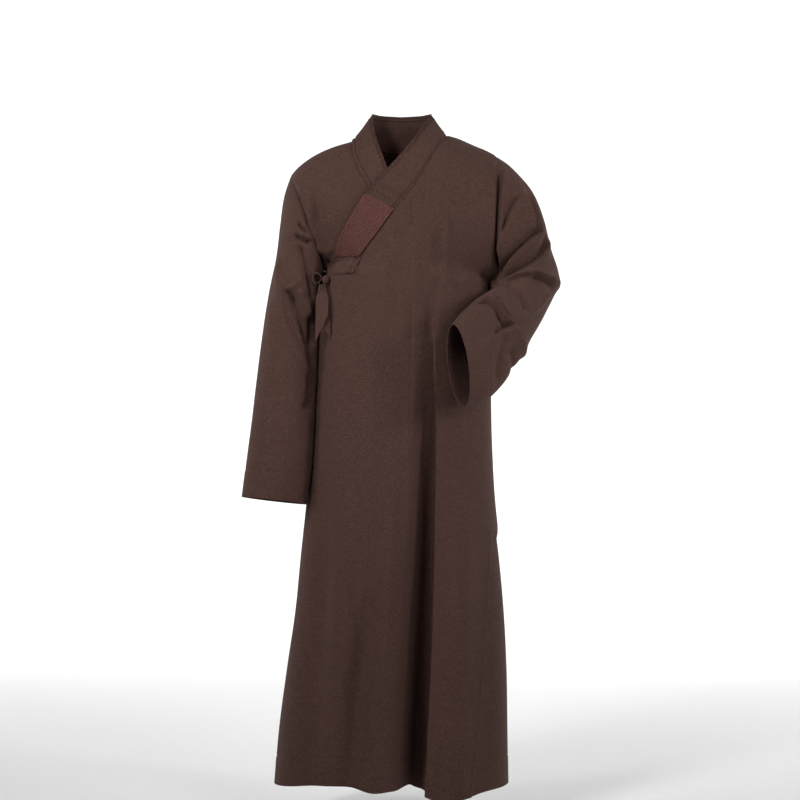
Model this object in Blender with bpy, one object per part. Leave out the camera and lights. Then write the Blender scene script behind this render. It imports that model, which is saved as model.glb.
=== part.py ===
"""Long wrap robe with crossed collar bands, in its worn, hollow form.

Metres, +Z up. The front faces -Y and the wearer's left is +X. The origin lies between
the shoulders, at the height of the neck seam. Heights are given as drops below it.
"""
import math

import bmesh
import bpy
import numpy as np


def table(names, rows):
    """Columns of a table of numbers, by name."""
    return dict(zip(names.split(), np.array(rows, dtype=float).T))


# Cloth
WALL = 0.002
BAND_WALL = 0.0028
SEAM_GAP = 0.0003
LAP = 0.0056            # outer front lies this far outside the inner front
TINY = 1e-4             # step of the numeric slopes

# Body
UNDERARM_RIGHT = 0.285
UNDERARM_LEFT = 0.315
HEM = 1.388
UNDERARM = 0.30         # nominal drop of the row between chest and skirt
SQUARENESS = 0.10
HEM_MIDDLE = -0.0180
HEM_HALF_WIDTH = 0.2530
SLIT = 0.80             # drop of the top of the side slits
SLIT_TUCK = 0.0062      # back panels pass this far inside the front ones below the slits
TUCK_START = 0.70
TUCK_RUN = 0.07
TUCK_ACROSS = 0.5       # the tuck fades out between this part of the width and the next
TUCK_FADE = 0.3
SIDE_FADE = 0.3         # back folds fade out this near the sides
SLIT_LAP = 0.035
SLIT_LAP_ANGLE = 0.16   # the same lap at the right side, as an angle
LAP_START = 0.78
LAP_RUN = 0.06
OVERLAP_X = 0.165       # right of this the outer front starts to leave the body line
OVERLAP_RUN = 0.06

# Shoulders and armholes
SHOULDER_RIGHT = (-0.239, -0.079)       # x, z
SHOULDER_LEFT = (0.203, -0.036)
CROWN = 0.0027                          # height of the shoulder line at the middle
LEFT_RISE = 0.012                       # its further rise beside the left of the neck
LEFT_RISE_RUN = 0.55
ARMHOLE_DEPTH = 0.088
CHEST_ROUND = 0.62
CHEST_FLAT = 0.85                       # 0.5 is round at the armholes, 1 is flat
SHOULDER_FLAT = 0.68
ARCH_END = 0.05
SIDE_POWERS = (1.2, 0.6)                # how the right and left armholes lean in
ARMPIT_LEVEL = 0.1                      # the chest is round only this close to the underarm

# Neck
NECK_RIGHT = -0.112
NECK_LEFT = 0.0968
NAPE_DIP = 0.33                         # how far the back neckline dips, as a level
SEAM_FRONT = 0.0188                     # centre-front seam
BAND_END = 0.2975                       # drop of the end of the outer band
FREE_EDGE_ANGLE = 0.13                  # free edge of the overlap, from the right side

SECTIONS = table("drop right left front back", [
    (0.25, -0.165, 0.182, 0.122, 0.112),
    (0.35, -0.169, 0.188, 0.125, 0.113),
    (0.48, -0.176, 0.191, 0.129, 0.116),
    (0.64, -0.187, 0.1935, 0.133, 0.126),
    (0.79, -0.202, 0.202, 0.136, 0.137),
    (0.89, -0.213, 0.214, 0.138, 0.145),
    (1.01, -0.225, 0.225, 0.142, 0.153),
    (1.13, -0.242, 0.231, 0.146, 0.160),
    (1.26, -0.259, 0.233, 0.151, 0.168),
    (1.40, -0.271, 0.235, 0.156, 0.175),
])

# The hem rises above its lowest line by this much
HEM_RISES = table("x rise", [
    (-0.267, 0.010), (-0.200, 0.020), (-0.120, 0.022), (-0.060, 0.014), (-0.020, 0.018),
    (0.020, 0.020), (0.042, 0.008), (0.060, 0.000), (0.125, 0.000), (0.160, 0.006),
    (0.226, 0.010),
])

# Folds run from a top point to a low point. Height is positive for a ridge.
FOLD_TOP_WIDTH = 0.55   # width of a fold at its top, as a share of its full width
FOLD_FADE = 0.45        # share of its length over which a fold grows
FRONT_FOLDS = table("x_top drop_top x_low drop_low height width", [
    (-0.012, 0.62, -0.056, 1.40, 0.020, 0.036),
    (-0.150, 0.60, -0.200, 1.40, -0.022, 0.034),
    (-0.060, 0.92, -0.112, 1.40, -0.024, 0.045),
    (0.125, 0.70, 0.098, 1.40, 0.024, 0.055),
    (-0.005, 0.22, -0.017, 0.48, -0.005, 0.018),
    (0.070, 0.20, 0.075, 0.31, -0.004, 0.012),
    (0.100, 0.15, 0.125, 0.38, -0.006, 0.016),
    (0.058, 0.32, 0.058, 0.47, -0.004, 0.013),
    (-0.188, 0.11, -0.158, 0.27, -0.007, 0.016),
    (-0.108, 0.88, -0.090, 1.08, -0.004, 0.014),
])
BACK_FOLDS = table("x_top drop_top x_low drop_low height width", [
    (-0.105, 0.52, -0.150, 1.40, -0.022, 0.036),
    (0.022, 0.56, 0.040, 1.40, -0.019, 0.040),
    (0.115, 0.58, 0.130, 1.40, 0.018, 0.042),
    (-0.040, 0.66, -0.065, 1.40, 0.014, 0.040),
    (-0.045, 0.12, -0.110, 0.30, -0.005, 0.016),
    (0.055, 0.12, 0.130, 0.29, -0.005, 0.016),
])

# The deep box-like fold beside the centre-front seam: soft right side, sharp left edge.
RECESS = table("drop soft edge depth", [
    (0.38, 0.030, 0.066, 0.000),
    (0.46, 0.026, 0.069, 0.006),
    (0.56, 0.020, 0.070, 0.022),
    (0.72, 0.013, 0.069, 0.042),
    (0.90, 0.003, 0.066, 0.060),
    (1.05, -0.009, 0.062, 0.074),
    (1.20, -0.017, 0.055, 0.086),
    (1.30, -0.020, 0.050, 0.094),
    (1.40, -0.020, 0.045, 0.100),
])
RECESS_WALL = 0.013
RECESS_SOFT_SHARE = 0.62

SLIT_EDGE = table("drop x", [
    (0.80, 0.1965), (0.87, 0.190), (0.987, 0.181), (1.159, 0.1685), (1.279, 0.158), (1.40, 0.139),
])

# Collar seam and free edge of the outer band, from the neck to the right underarm
OUTER_SEAM = table("x z", [
    (-0.1052, -0.2941), (-0.0882, -0.2633), (-0.0675, -0.2360), (-0.0461, -0.2075),
    (-0.0265, -0.1800), (-0.0072, -0.1544), (0.0188, -0.1230), (0.0407, -0.0907),
    (0.0601, -0.0552), (0.0785, -0.0240), (0.0880, -0.0155), (0.0945, -0.0095), (0.0968, 0.0),
])
INNER_SEAM = table("x z", [
    (-0.1120, 0.0), (-0.1118, -0.0090), (-0.1108, -0.0150), (-0.1090, -0.0260),
    (-0.1055, -0.0444), (-0.0985, -0.0682), (-0.0765, -0.1085), (-0.0462, -0.1605),
    (-0.0168, -0.2138), (0.0040, -0.2500),
])

# Left edge of the right front, under the overlap
INNER_EDGE = table("drop x", [
    (0.25, 0.004), (0.35, -0.014), (0.60, -0.018), (1.00, -0.034), (1.40, -0.045),
])

ROWS_CHEST = 10
ROWS_SKIRT = 16
YOKE = 3 / ROWS_SKIRT   # level below which the rows of all panels agree
SEAM_LEVEL = -0.15      # columns leave their places at the collar seam below this level
SKIRT_RUN = 0.35        # and reach their places in the skirt over this much of it
MITRE_LEVEL = 0.1
SHARP_ANGLE = 75        # degrees


def smooth_curve(at, knots, values):
    """Cubic curve through table values."""
    slopes = np.gradient(values, knots)
    at = np.clip(at, knots[0], knots[-1])
    i = np.clip(np.searchsorted(knots, at) - 1, 0, len(knots) - 2)
    span = knots[i + 1] - knots[i]
    t = (at - knots[i]) / span
    start = values[i] * (1 + 2 * t) * (1 - t) ** 2 + span * slopes[i] * t * (1 - t) ** 2
    end = values[i + 1] * t * t * (3 - 2 * t) - span * slopes[i + 1] * t * t * (1 - t)
    return start + end


def ease(t):
    """Smooth step from 0 to 1."""
    t = np.clip(t, 0.0, 1.0)
    return t * t * (3 - 2 * t)


def unit(vectors):
    """Vectors of length one."""
    return vectors / np.maximum(np.linalg.norm(vectors, axis=-1, keepdims=True), 1e-12)


# ---------------------------------------------------------------- body surface

def oval(phi):
    """Across (-1 right to 1 left) and outward (0 to 1) parts of the rounded section."""
    c = -np.cos(phi)
    s = np.sin(phi)
    return c * (1 + SQUARENESS * s * s), s * (1 + SQUARENESS * c * c)


def oval_angle(across):
    """Angle whose across part is the given one, by Newton's rule."""
    across = np.clip(across, -1, 1)
    c = across.copy()
    for _ in range(12):
        slope = 1 + SQUARENESS - 3 * SQUARENESS * c * c
        c = np.clip(c - (c * (1 + SQUARENESS) - SQUARENESS * c ** 3 - across) / slope, -1, 1)
    return np.arccos(-c)


def arch(across, power):
    """Arch from 0 at both ends to 1 in the middle, with open ends."""
    raised = (np.maximum(1 - across * across, 0) + ARCH_END) ** power
    return (raised - ARCH_END ** power) / ((1 + ARCH_END) ** power - ARCH_END ** power)


def hem_x(across):
    """x along the hem."""
    return HEM_MIDDLE + HEM_HALF_WIDTH * across


def hem_drop(x):
    """Drop of the hem."""
    return HEM - smooth_curve(x, HEM_RISES["x"], HEM_RISES["rise"])


def armhole_rise(level):
    """Share of the armhole's height reached at a level."""
    return (1 - np.cos(np.pi * np.clip(-level, 0, 1))) / 2


def drop_at(across, level):
    """Drop of a skirt point."""
    share = np.clip((1 + across) / 2, 0, 1)
    under = UNDERARM_RIGHT + (UNDERARM_LEFT - UNDERARM_RIGHT) * share
    return under + (hem_drop(hem_x(across)) - under) * np.clip(level, 0, 1)


def side_x(level, drop):
    """x of the right and left ends of a row."""
    right = smooth_curve(drop, SECTIONS["drop"], SECTIONS["right"])
    left = smooth_curve(drop, SECTIONS["drop"], SECTIONS["left"])
    rise = armhole_rise(level)
    right = right + (SHOULDER_RIGHT[0] - right) * rise ** SIDE_POWERS[0]
    left = left + (SHOULDER_LEFT[0] - left) * rise ** SIDE_POWERS[1]
    return right, left


def base_point(phi, level, half):
    """Body surface without folds. half is 1 for the front and -1 for the back."""
    across, outward = oval(phi)
    drop = drop_at(across, level)
    right, left = side_x(level, drop)
    x = (right + left) / 2 + (left - right) / 2 * across
    depths = {1: "front", -1: "back"}
    own = smooth_curve(drop, SECTIONS["drop"], SECTIONS[depths[half]])
    other = smooth_curve(drop, SECTIONS["drop"], SECTIONS[depths[-half]])
    depth = np.where(outward >= 0, own, other)
    t = np.clip(-level, 0, 1)
    rise = armhole_rise(level)
    end_depth = ARMHOLE_DEPTH * np.sin(np.pi * t)
    depth = depth * np.cos(np.pi * t / 2) ** CHEST_ROUND
    outward = outward + (arch(across, CHEST_FLAT) - outward) * ease(t / ARMPIT_LEVEL)
    y = -half * (end_depth + (depth - end_depth) * outward)
    shoulder = SHOULDER_RIGHT[1] + (SHOULDER_LEFT[1] - SHOULDER_RIGHT[1]) * (1 + across) / 2
    end_z = -drop + (shoulder + drop) * rise
    crown = CROWN + LEFT_RISE * ease(across / LEFT_RISE_RUN)
    middle_z = -drop + (crown + drop) * np.sin(np.pi * t / 2)
    z = np.where(level < 0, end_z + (middle_z - end_z) * arch(across, SHOULDER_FLAT), -drop)
    return np.stack([x, y, z], axis=-1)


def slopes(point, phi, level):
    """Numeric slopes of a surface along its angle and its level."""
    low = np.where(level < 0, np.maximum(phi - TINY, 0), phi - TINY)
    high = np.where(level < 0, np.minimum(phi + TINY, math.pi), phi + TINY)
    along = unit(point(high, level) - point(low, level))
    upper = np.maximum(level - TINY, -1 + 1e-9)
    down = unit(point(phi, level + TINY) - point(phi, upper))
    return along, down


def surface_normal(point, phi, level, half):
    """Outward unit normal of a body surface."""
    along, down = slopes(point, phi, level)
    return half * unit(np.cross(down, along))


def fold_height(x, drop, folds):
    """Sum of the soft folds at a point."""
    total = np.zeros_like(x)
    for i in range(len(folds["x_top"])):
        top = folds["drop_top"][i]
        low = folds["drop_low"][i]
        t = (drop - top) / (low - top)
        line = folds["x_top"][i] + (folds["x_low"][i] - folds["x_top"][i]) * t
        spread_out = FOLD_TOP_WIDTH + (1 - FOLD_TOP_WIDTH) * np.clip(t, 0, 1)
        width = folds["width"][i] * spread_out
        fade = ease(t / FOLD_FADE)
        if low < HEM:
            fade = fade * ease((1 - t) / FOLD_FADE)
        total = total + folds["height"][i] * fade * np.exp(-((x - line) / width) ** 2)
    return total


def recess_depth(x, drop):
    """Depth of the deep fold, soft on the right and steep on the left."""
    soft = smooth_curve(drop, RECESS["drop"], RECESS["soft"])
    edge = smooth_curve(drop, RECESS["drop"], RECESS["edge"])
    depth = smooth_curve(drop, RECESS["drop"], RECESS["depth"])
    entry = ease((x - soft) / ((edge - soft) * RECESS_SOFT_SHARE))
    rise = ease((edge - x) / RECESS_WALL)
    return depth * entry * rise


def outer_front(phi, level):
    """Outer face of the left front and the overlap."""
    base = base_point(phi, level, 1)
    x = base[..., 0]
    drop = -base[..., 2]
    height = fold_height(x, drop, FRONT_FOLDS) - recess_depth(x, drop)
    height = height + LAP * ease((OVERLAP_X - x) / OVERLAP_RUN)
    return base + height[..., None] * surface_normal(
        lambda a, b: base_point(a, b, 1), phi, level, 1)


def inner_front(phi, level):
    """Outer face of the right front, under the overlap."""
    base = base_point(phi, level, 1)
    height = fold_height(base[..., 0], -base[..., 2], FRONT_FOLDS)
    return base + height[..., None] * surface_normal(
        lambda a, b: base_point(a, b, 1), phi, level, 1)


def back(phi, level):
    """Outer face of the back."""
    base = base_point(phi, level, -1)
    drop = -base[..., 2]
    height = fold_height(base[..., 0], drop, BACK_FOLDS) * ease(np.sin(phi) / SIDE_FADE)
    tuck = ease((drop - TUCK_START) / TUCK_RUN)
    height = height - SLIT_TUCK * tuck * ease((np.abs(np.cos(phi)) - TUCK_ACROSS) / TUCK_FADE)
    height = height + fold_height(base[..., 0], drop, FRONT_FOLDS) * (np.sin(phi) < 0)
    return base + height[..., None] * surface_normal(
        lambda a, b: base_point(a, b, -1), phi, level, -1)


def angle_at(x, level):
    """Angle of a point with the given x on the row of a level."""
    x = np.asarray(x, dtype=float) + np.zeros_like(level)
    share = np.clip((x + 0.2) / 0.4, 0, 1)
    across = 2 * share - 1
    for _ in range(4):
        drop = drop_at(across, level)
        right, left = side_x(level, drop)
        across = np.clip((2 * x - right - left) / (left - right), -1, 1)
    return oval_angle(across)


def level_at(x, z):
    """Level of the front surface at x and z."""
    low = np.full(np.shape(x), -1.0)
    high = np.full(np.shape(x), 1.0)
    for _ in range(34):
        middle = (low + high) / 2
        above = base_point(angle_at(x, middle), middle, 1)[..., 2] > z
        low = np.where(above, middle, low)
        high = np.where(above, high, middle)
    return (low + high) / 2


# ---------------------------------------------------------------- solids

def material(name, colour, roughness):
    """Plain cloth material."""
    made = bpy.data.materials.new(name)
    made.use_nodes = True
    shader = made.node_tree.nodes["Principled BSDF"]
    shader.inputs["Base Color"].default_value = (*colour, 1.0)
    shader.inputs["Roughness"].default_value = roughness
    shader.inputs["Metallic"].default_value = 0.0
    return made


def wall(name, outer, inner, cloth, ring=False):
    """Closed solid between two grids of points."""
    rows, cols = outer.shape[:2]
    points = np.concatenate([outer.reshape(-1, 3), inner.reshape(-1, 3)])
    size = rows * cols
    spans = cols if ring else cols - 1
    faces = []
    for i in range(rows - 1):
        for j in range(spans):
            k = (j + 1) % cols
            corners = (i * cols + j, i * cols + k, (i + 1) * cols + k, (i + 1) * cols + j)
            faces.append(corners)
            faces.append(tuple(size + c for c in reversed(corners)))
    for j in range(spans):
        k = (j + 1) % cols
        faces.append((k, j, size + j, size + k))
        last = (rows - 1) * cols
        faces.append((last + j, last + k, size + last + k, size + last + j))
    if not ring:
        for i in range(rows - 1):
            a = i * cols
            b = a + cols
            faces.append((a, b, size + b, size + a))
            faces.append((b + cols - 1, a + cols - 1, size + a + cols - 1, size + b + cols - 1))
    mesh = bpy.data.meshes.new(name)
    mesh.from_pydata([tuple(p) for p in points], [], faces)
    form = bmesh.new()
    form.from_mesh(mesh)
    bmesh.ops.triangulate(form, faces=form.faces[:])
    bmesh.ops.recalc_face_normals(form, faces=form.faces[:])
    form.to_mesh(mesh)
    form.free()
    mesh.shade_smooth()
    mesh.set_sharp_from_angle(angle=math.radians(SHARP_ANGLE))
    mesh.materials.append(cloth)
    made = bpy.data.objects.new(name, mesh)
    bpy.context.scene.collection.objects.link(made)
    return made


def trim(grid, amount):
    """Pull the four borders of a grid in, along the grid."""
    cut = grid.copy()
    cut[0] += amount * unit(grid[1] - grid[0])
    cut[-1] += amount * unit(grid[-2] - grid[-1])
    cut[:, 0] += amount * unit(grid[:, 1] - grid[:, 0])
    cut[:, -1] += amount * unit(grid[:, -2] - grid[:, -1])
    return cut


def nominal_levels():
    """Rows from the shoulder line to the hem."""
    chest = -np.linspace(1, 0, ROWS_CHEST + 1)[:-1]
    skirt = np.linspace(0, 1, ROWS_SKIRT + 1)
    return np.concatenate([chest, skirt])


def panel_levels(tops):
    """Levels of a panel's points. Each column has its own top; rows below YOKE are shared."""
    nominal = nominal_levels()[:, None]
    squeezed = tops + (YOKE - tops) * (nominal + 1) / (YOKE + 1)
    return np.where(nominal > YOKE, nominal, squeezed)


def mitred(outer, normal, level):
    """Normals made longer at the skirt's bends, so that the wall keeps its thickness."""
    down = np.gradient(outer, axis=0)[:, 1:-1]
    span = np.diff(outer, axis=1)
    both = unit(np.cross(down, span[:, :-1])) + unit(np.cross(down, span[:, 1:]))
    both = both * np.sign(np.sum(both * normal[:, 1:-1]))
    square = np.sum(both * both, axis=-1, keepdims=True)
    made = normal.copy()
    share = ease(level[:, 1:-1, None] / MITRE_LEVEL)
    made[:, 1:-1] += share * (2 * both / np.maximum(square, 1.0) - made[:, 1:-1])
    return made


def panel(name, point, half, phi, level, cloth):
    """Panel of a body surface, as a wall."""
    outer = point(phi, level)
    normal = surface_normal(point, phi, level, half)
    normal = mitred(outer, normal, level)
    top = level[0] < -0.999
    partner = {1: back, -1: inner_front}[half]
    joined = normal[0] + surface_normal(partner, phi[0], level[0], -half)
    normal[0] = np.where(top[:, None], unit(joined), normal[0])
    outer = trim(outer, SEAM_GAP / 2)
    return wall(name, outer, outer - WALL * normal, cloth)


def drops_of(level):
    """Nominal drops of levels."""
    return UNDERARM + (HEM - UNDERARM) * np.maximum(level, 0)


# ---------------------------------------------------------------- body panels

BACK_NECK_SHARES = (0.0, 0.36, 0.64, 0.86, 1.0)
SKIRT_X = (-0.066, -0.092, -0.118, -0.144)      # columns shared by overlap and right front
SIDE_SHARES = (0.36, 0.70, 1.0)


def spread(start, end, shares):
    """Columns of angles between two others."""
    return [start + (end - start) * share for share in shares]


def low_share(level):
    """How far a column has left its place at the seam for its place in the skirt."""
    return ease((level - SEAM_LEVEL) / SKIRT_RUN)


def column_x(x_top, x_low, level):
    """x of a column: its seam x at the top, a fold's line in the skirt."""
    return x_top + (x_low - x_top) * low_share(level)


def seam_tops(x, seam):
    """Levels where columns meet a collar seam."""
    x = np.array(x)
    order = np.argsort(seam["x"])
    return level_at(x, np.interp(x, seam["x"][order], seam["z"][order]))


def left_side_angle(level):
    """Left edge of the front: the side seam, then the free edge of the slit."""
    drop = drops_of(level)
    edge = angle_at(smooth_curve(drop, SLIT_EDGE["drop"], SLIT_EDGE["x"]), level)
    return np.where(drop > SLIT, edge, math.pi)


def make_front_left(cloth):
    """Left front, from the centre-front seam to the left side."""
    seam_x = [SEAM_FRONT, 0.0407, 0.0601, 0.0785, 0.0880, 0.0945, NECK_LEFT]
    shares = [0.16, 0.32, 0.48, 0.63, 0.77, 0.89, 1.0]
    tops = np.append(seam_tops(seam_x, OUTER_SEAM), [-1.0] * len(shares))
    tops[len(seam_x) - 1] = -1.0
    level = panel_levels(tops)
    drop = drops_of(level)
    edge = smooth_curve(drop, RECESS["drop"], RECESS["edge"])
    foot = edge - RECESS_WALL
    lines = [SEAM_FRONT, (SEAM_FRONT + foot) / 2, foot, edge - 0.45 * RECESS_WALL, edge]
    lines += [edge + 0.008, edge + 0.020]
    columns = []
    for j, x_top in enumerate(seam_x):
        line = lines[j] if j == 0 else lines[j][:, j]
        columns.append(angle_at(column_x(x_top, line, level[:, j]), level[:, j]))
    columns += spread(columns[-1], left_side_angle(level[:, -1]), shares)
    phi = np.stack(columns, axis=1)
    panel("front_left", outer_front, 1, phi, level, cloth)


def make_front_overlap(cloth):
    """Outer overlap, from the centre-front seam to its free edge at the right side."""
    seam_x = [SEAM_FRONT, -0.0072, -0.0265, -0.0461, -0.0675, -0.0882, -0.1052]
    band_x = [-0.1185, -0.1320, -0.1458]
    hem_x = [SEAM_FRONT, 0.008, -0.003, -0.014, -0.026, -0.043, *SKIRT_X]
    tops = np.append(seam_tops(seam_x, OUTER_SEAM), level_at(np.array(band_x), -BAND_END))
    side_top = (BAND_END - UNDERARM_RIGHT) / (HEM - UNDERARM_RIGHT)
    tops = np.append(tops, tops[-1] + (side_top - tops[-1]) * np.array(SIDE_SHARES))
    level = panel_levels(tops)
    columns = []
    for j, (x_top, x_hem) in enumerate(zip(seam_x + band_x, hem_x)):
        columns.append(angle_at(column_x(x_top, x_hem, level[:, j]), level[:, j]))
    columns += spread(columns[-1], FREE_EDGE_ANGLE, SIDE_SHARES)
    panel("front_overlap", outer_front, 1, np.stack(columns, axis=1), level, cloth)


def make_front_inner(cloth):
    """Right front, under the overlap, with the same skirt columns as it."""
    seam_x = [0.0040, -0.0168, -0.0462, -0.0765, -0.0985, -0.1055, -0.1090, -0.1108, -0.1118]
    seam_x.append(NECK_RIGHT)
    shares = [0.30, 0.65, 1.0]
    tops = np.append(seam_tops(seam_x, INNER_SEAM), [-1.0] * len(shares))
    tops[len(seam_x) - 1] = -1.0
    level = panel_levels(tops)
    drop = drops_of(level)
    edge = smooth_curve(drop[:, 0], INNER_EDGE["drop"], INNER_EDGE["x"])
    low = [angle_at(edge, level[:, 0])]
    for j, x_hem in enumerate(SKIRT_X):
        low.append(angle_at(np.full(len(level), x_hem), level[:, j + 1]))
    low += spread(low[-1], np.full(len(level), FREE_EDGE_ANGLE), SIDE_SHARES)
    low += spread(low[-1], np.zeros(len(level)), [0.2, 0.4, 0.6, 0.8, 1.0])
    high = []
    for j, x_top in enumerate(seam_x):
        high.append(angle_at(np.full(len(level), x_top), level[:, j]))
    high += spread(high[-1], np.zeros(len(level)), shares)
    columns = []
    for j in range(len(high)):
        columns.append(high[j] + (low[j] - high[j]) * low_share(level[:, j]))
    panel("front_inner", inner_front, 1, np.stack(columns, axis=1), level, cloth)


def nape_level(x, neck):
    """Level of the back neckline."""
    return -1 + NAPE_DIP * np.sqrt(np.maximum(1 - (x / neck) ** 2, 0))


def make_back(name, neck, side_angle, cloth):
    """One back panel, from the centre-back seam to its side."""
    seam_x = neck * np.array(BACK_NECK_SHARES)
    shares = [0.12, 0.27, 0.44, 0.61, 0.77, 0.90, 1.0]
    tops = np.append(nape_level(seam_x, neck), [-1.0] * len(shares))
    level = panel_levels(tops)
    columns = []
    for j, x_top in enumerate(seam_x):
        columns.append(angle_at(column_x(x_top, 1.15 * x_top, level[:, j]), level[:, j]))
    columns += spread(columns[-1], side_angle(level[:, -1]), shares)
    panel(name, back, -1, np.stack(columns, axis=1), level, cloth)


def back_left_side(level):
    """Left edge of the back, which laps under the front below the slit."""
    drop = drops_of(level)
    edge = smooth_curve(drop, SLIT_EDGE["drop"], SLIT_EDGE["x"]) - SLIT_LAP
    lap = math.pi - angle_at(edge, level)
    return math.pi + lap * ease((drop - LAP_START) / LAP_RUN)


def back_right_side(level):
    """Right edge of the back, which laps under the front below the slit."""
    return -SLIT_LAP_ANGLE * ease((drops_of(level) - LAP_START) / LAP_RUN)


# ---------------------------------------------------------------- sleeves

# Each section runs from its inner end, next to the body, to its outer end.
RIGHT_SLEEVE = table("x_in y_in z_in x_out y_out z_out depth", [
    (-0.167, 0.000, -0.285, -0.239, 0.000, -0.079, 0.085),
    (-0.182, -0.002, -0.304, -0.2535, 0.000, -0.125, 0.083),
    (-0.181, -0.006, -0.338, -0.262, 0.000, -0.185, 0.079),
    (-0.180, -0.012, -0.384, -0.270, -0.004, -0.255, 0.074),
    (-0.182, -0.016, -0.435, -0.286, -0.010, -0.335, 0.070),
    (-0.1848, -0.022, -0.490, -0.300, -0.018, -0.430, 0.067),
    (-0.1895, -0.028, -0.560, -0.311, -0.026, -0.520, 0.065),
    (-0.1945, -0.034, -0.625, -0.320, -0.034, -0.600, 0.064),
    (-0.2010, -0.040, -0.700, -0.331, -0.042, -0.688, 0.063),
    (-0.2085, -0.046, -0.781, -0.3405, -0.050, -0.765, 0.062),
])
LEFT_SLEEVE = table("x_in y_in z_in x_out y_out z_out depth", [
    (0.183, 0.000, -0.315, 0.203, 0.000, -0.036, 0.085),
    (0.2030, -0.005, -0.3335, 0.2365, 0.005, -0.060, 0.084),
    (0.2090, -0.014, -0.3335, 0.280, 0.010, -0.110, 0.080),
    (0.206, -0.026, -0.3285, 0.3045, 0.016, -0.170, 0.075),
    (0.206, -0.042, -0.322, 0.317, 0.020, -0.235, 0.070),
    (0.204, -0.062, -0.320, 0.331, 0.020, -0.310, 0.063),
    (0.198, -0.086, -0.322, 0.294, -0.015, -0.385, 0.056),
    (0.188, -0.112, -0.328, 0.256, -0.065, -0.447, 0.049),
    (0.172, -0.138, -0.338, 0.220, -0.115, -0.508, 0.043),
    (0.149, -0.166, -0.355, 0.186, -0.158, -0.549, 0.038),
    (0.124, -0.195, -0.380, 0.156, -0.190, -0.568, 0.034),
    (0.104, -0.218, -0.405, 0.127, -0.214, -0.575, 0.031),
])
ARMHOLE_REACH = 2.5     # sections over which a sleeve leaves the armhole's own shape
TURN_LENGTH = 0.20      # metres of half a turn round a sleeve
SECTION_LENGTH = 0.055  # metres between sleeve sections
SLEEVE_ROWS = 18

# Creases run from one point to another. Turn is 0 inside, 0.5 in front, 1 outside.
RIGHT_SLEEVE_FOLDS = table("turn_a along_a turn_b along_b height width", [
    (0.20, 0.6, 0.30, 3.0, -0.010, 0.014),
    (0.35, 3.6, 0.12, 5.2, -0.007, 0.010),
    (0.72, 2.4, 0.55, 5.4, 0.006, 0.016),
    (0.62, 5.5, 0.60, 8.8, 0.006, 0.022),
    (1.55, 1.0, 1.40, 3.8, -0.009, 0.016),
    (1.70, 3.8, 1.45, 6.0, -0.006, 0.014),
])
LEFT_SLEEVE_FOLDS = table("turn_a along_a turn_b along_b height width", [
    (0.55, 0.5, 0.30, 2.4, -0.009, 0.016),
    (0.85, 2.0, 0.25, 3.4, 0.009, 0.014),
    (0.90, 3.2, 0.20, 4.2, -0.011, 0.012),
    (0.70, 4.6, 0.15, 4.9, -0.008, 0.011),
    (0.20, 5.8, 0.62, 8.6, 0.009, 0.016),
    (0.60, 7.4, 0.85, 6.6, -0.008, 0.012),
    (1.60, 3.0, 1.25, 4.6, -0.010, 0.014),
    (1.70, 5.0, 1.30, 6.6, -0.008, 0.014),
])


def armhole(turn, side):
    """Armhole edge and its outward-pointing normal. Turn is 0 below, 0.5 front, 1 top."""
    level = -np.where(turn <= 1, turn, 2 - turn)
    phi = np.full(np.shape(turn), {1: math.pi, -1: 0.0}[side])
    in_front = {1: outer_front, -1: inner_front}[side]
    front_point = in_front(phi, level)
    back_point = back(phi, level)
    front_normal = surface_normal(in_front, phi, level, 1)
    back_normal = surface_normal(back, phi, level, -1)
    shared = np.minimum(np.abs(level), 1 + level) < 1e-6
    front = (turn <= 1)[..., None]
    normal = np.where(front, front_normal, back_normal)
    normal = np.where(shared[..., None], unit(front_normal + back_normal), normal)
    return np.where(front, front_point, back_point), normal


def sleeve_section(turn, along, sections, side):
    """Plain sleeve form."""
    knots = np.arange(len(sections["depth"]), dtype=float)

    def ends(at):
        inner = [smooth_curve(at, knots, sections[axis + "_in"]) for axis in "xyz"]
        outer = [smooth_curve(at, knots, sections[axis + "_out"]) for axis in "xyz"]
        return np.stack(inner, axis=-1), np.stack(outer, axis=-1)

    inner, outer = ends(along)
    before = sum(ends(np.maximum(along - 0.5, 0)))
    after = sum(ends(np.minimum(along + 0.5, knots[-1])))
    forward = side * unit(np.cross(after - before, outer - inner))
    angle = math.pi * turn
    depth = smooth_curve(along, knots, sections["depth"])
    point = (inner + outer) / 2 - (outer - inner) / 2 * np.cos(angle)[..., None]
    return point + forward * (depth * np.sin(angle))[..., None]


def crease_height(turn, along, folds):
    """Sum of the creases at a point of a sleeve."""
    total = np.zeros_like(turn)
    for i in range(len(folds["height"])):
        start = np.array([folds["turn_a"][i] * TURN_LENGTH, folds["along_a"][i] * SECTION_LENGTH])
        end = np.array([folds["turn_b"][i] * TURN_LENGTH, folds["along_b"][i] * SECTION_LENGTH])
        here = np.stack([turn * TURN_LENGTH, along * SECTION_LENGTH], axis=-1)
        run = end - start
        t = np.clip(((here - start) @ run) / (run @ run), 0, 1)
        away = np.linalg.norm(here - start - t[..., None] * run, axis=-1)
        taper = ease(np.minimum(t, 1 - t) / 0.3 + 0.25)
        total = total + folds["height"][i] * taper * np.exp(-(away / folds["width"][i]) ** 2)
    return total


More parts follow.
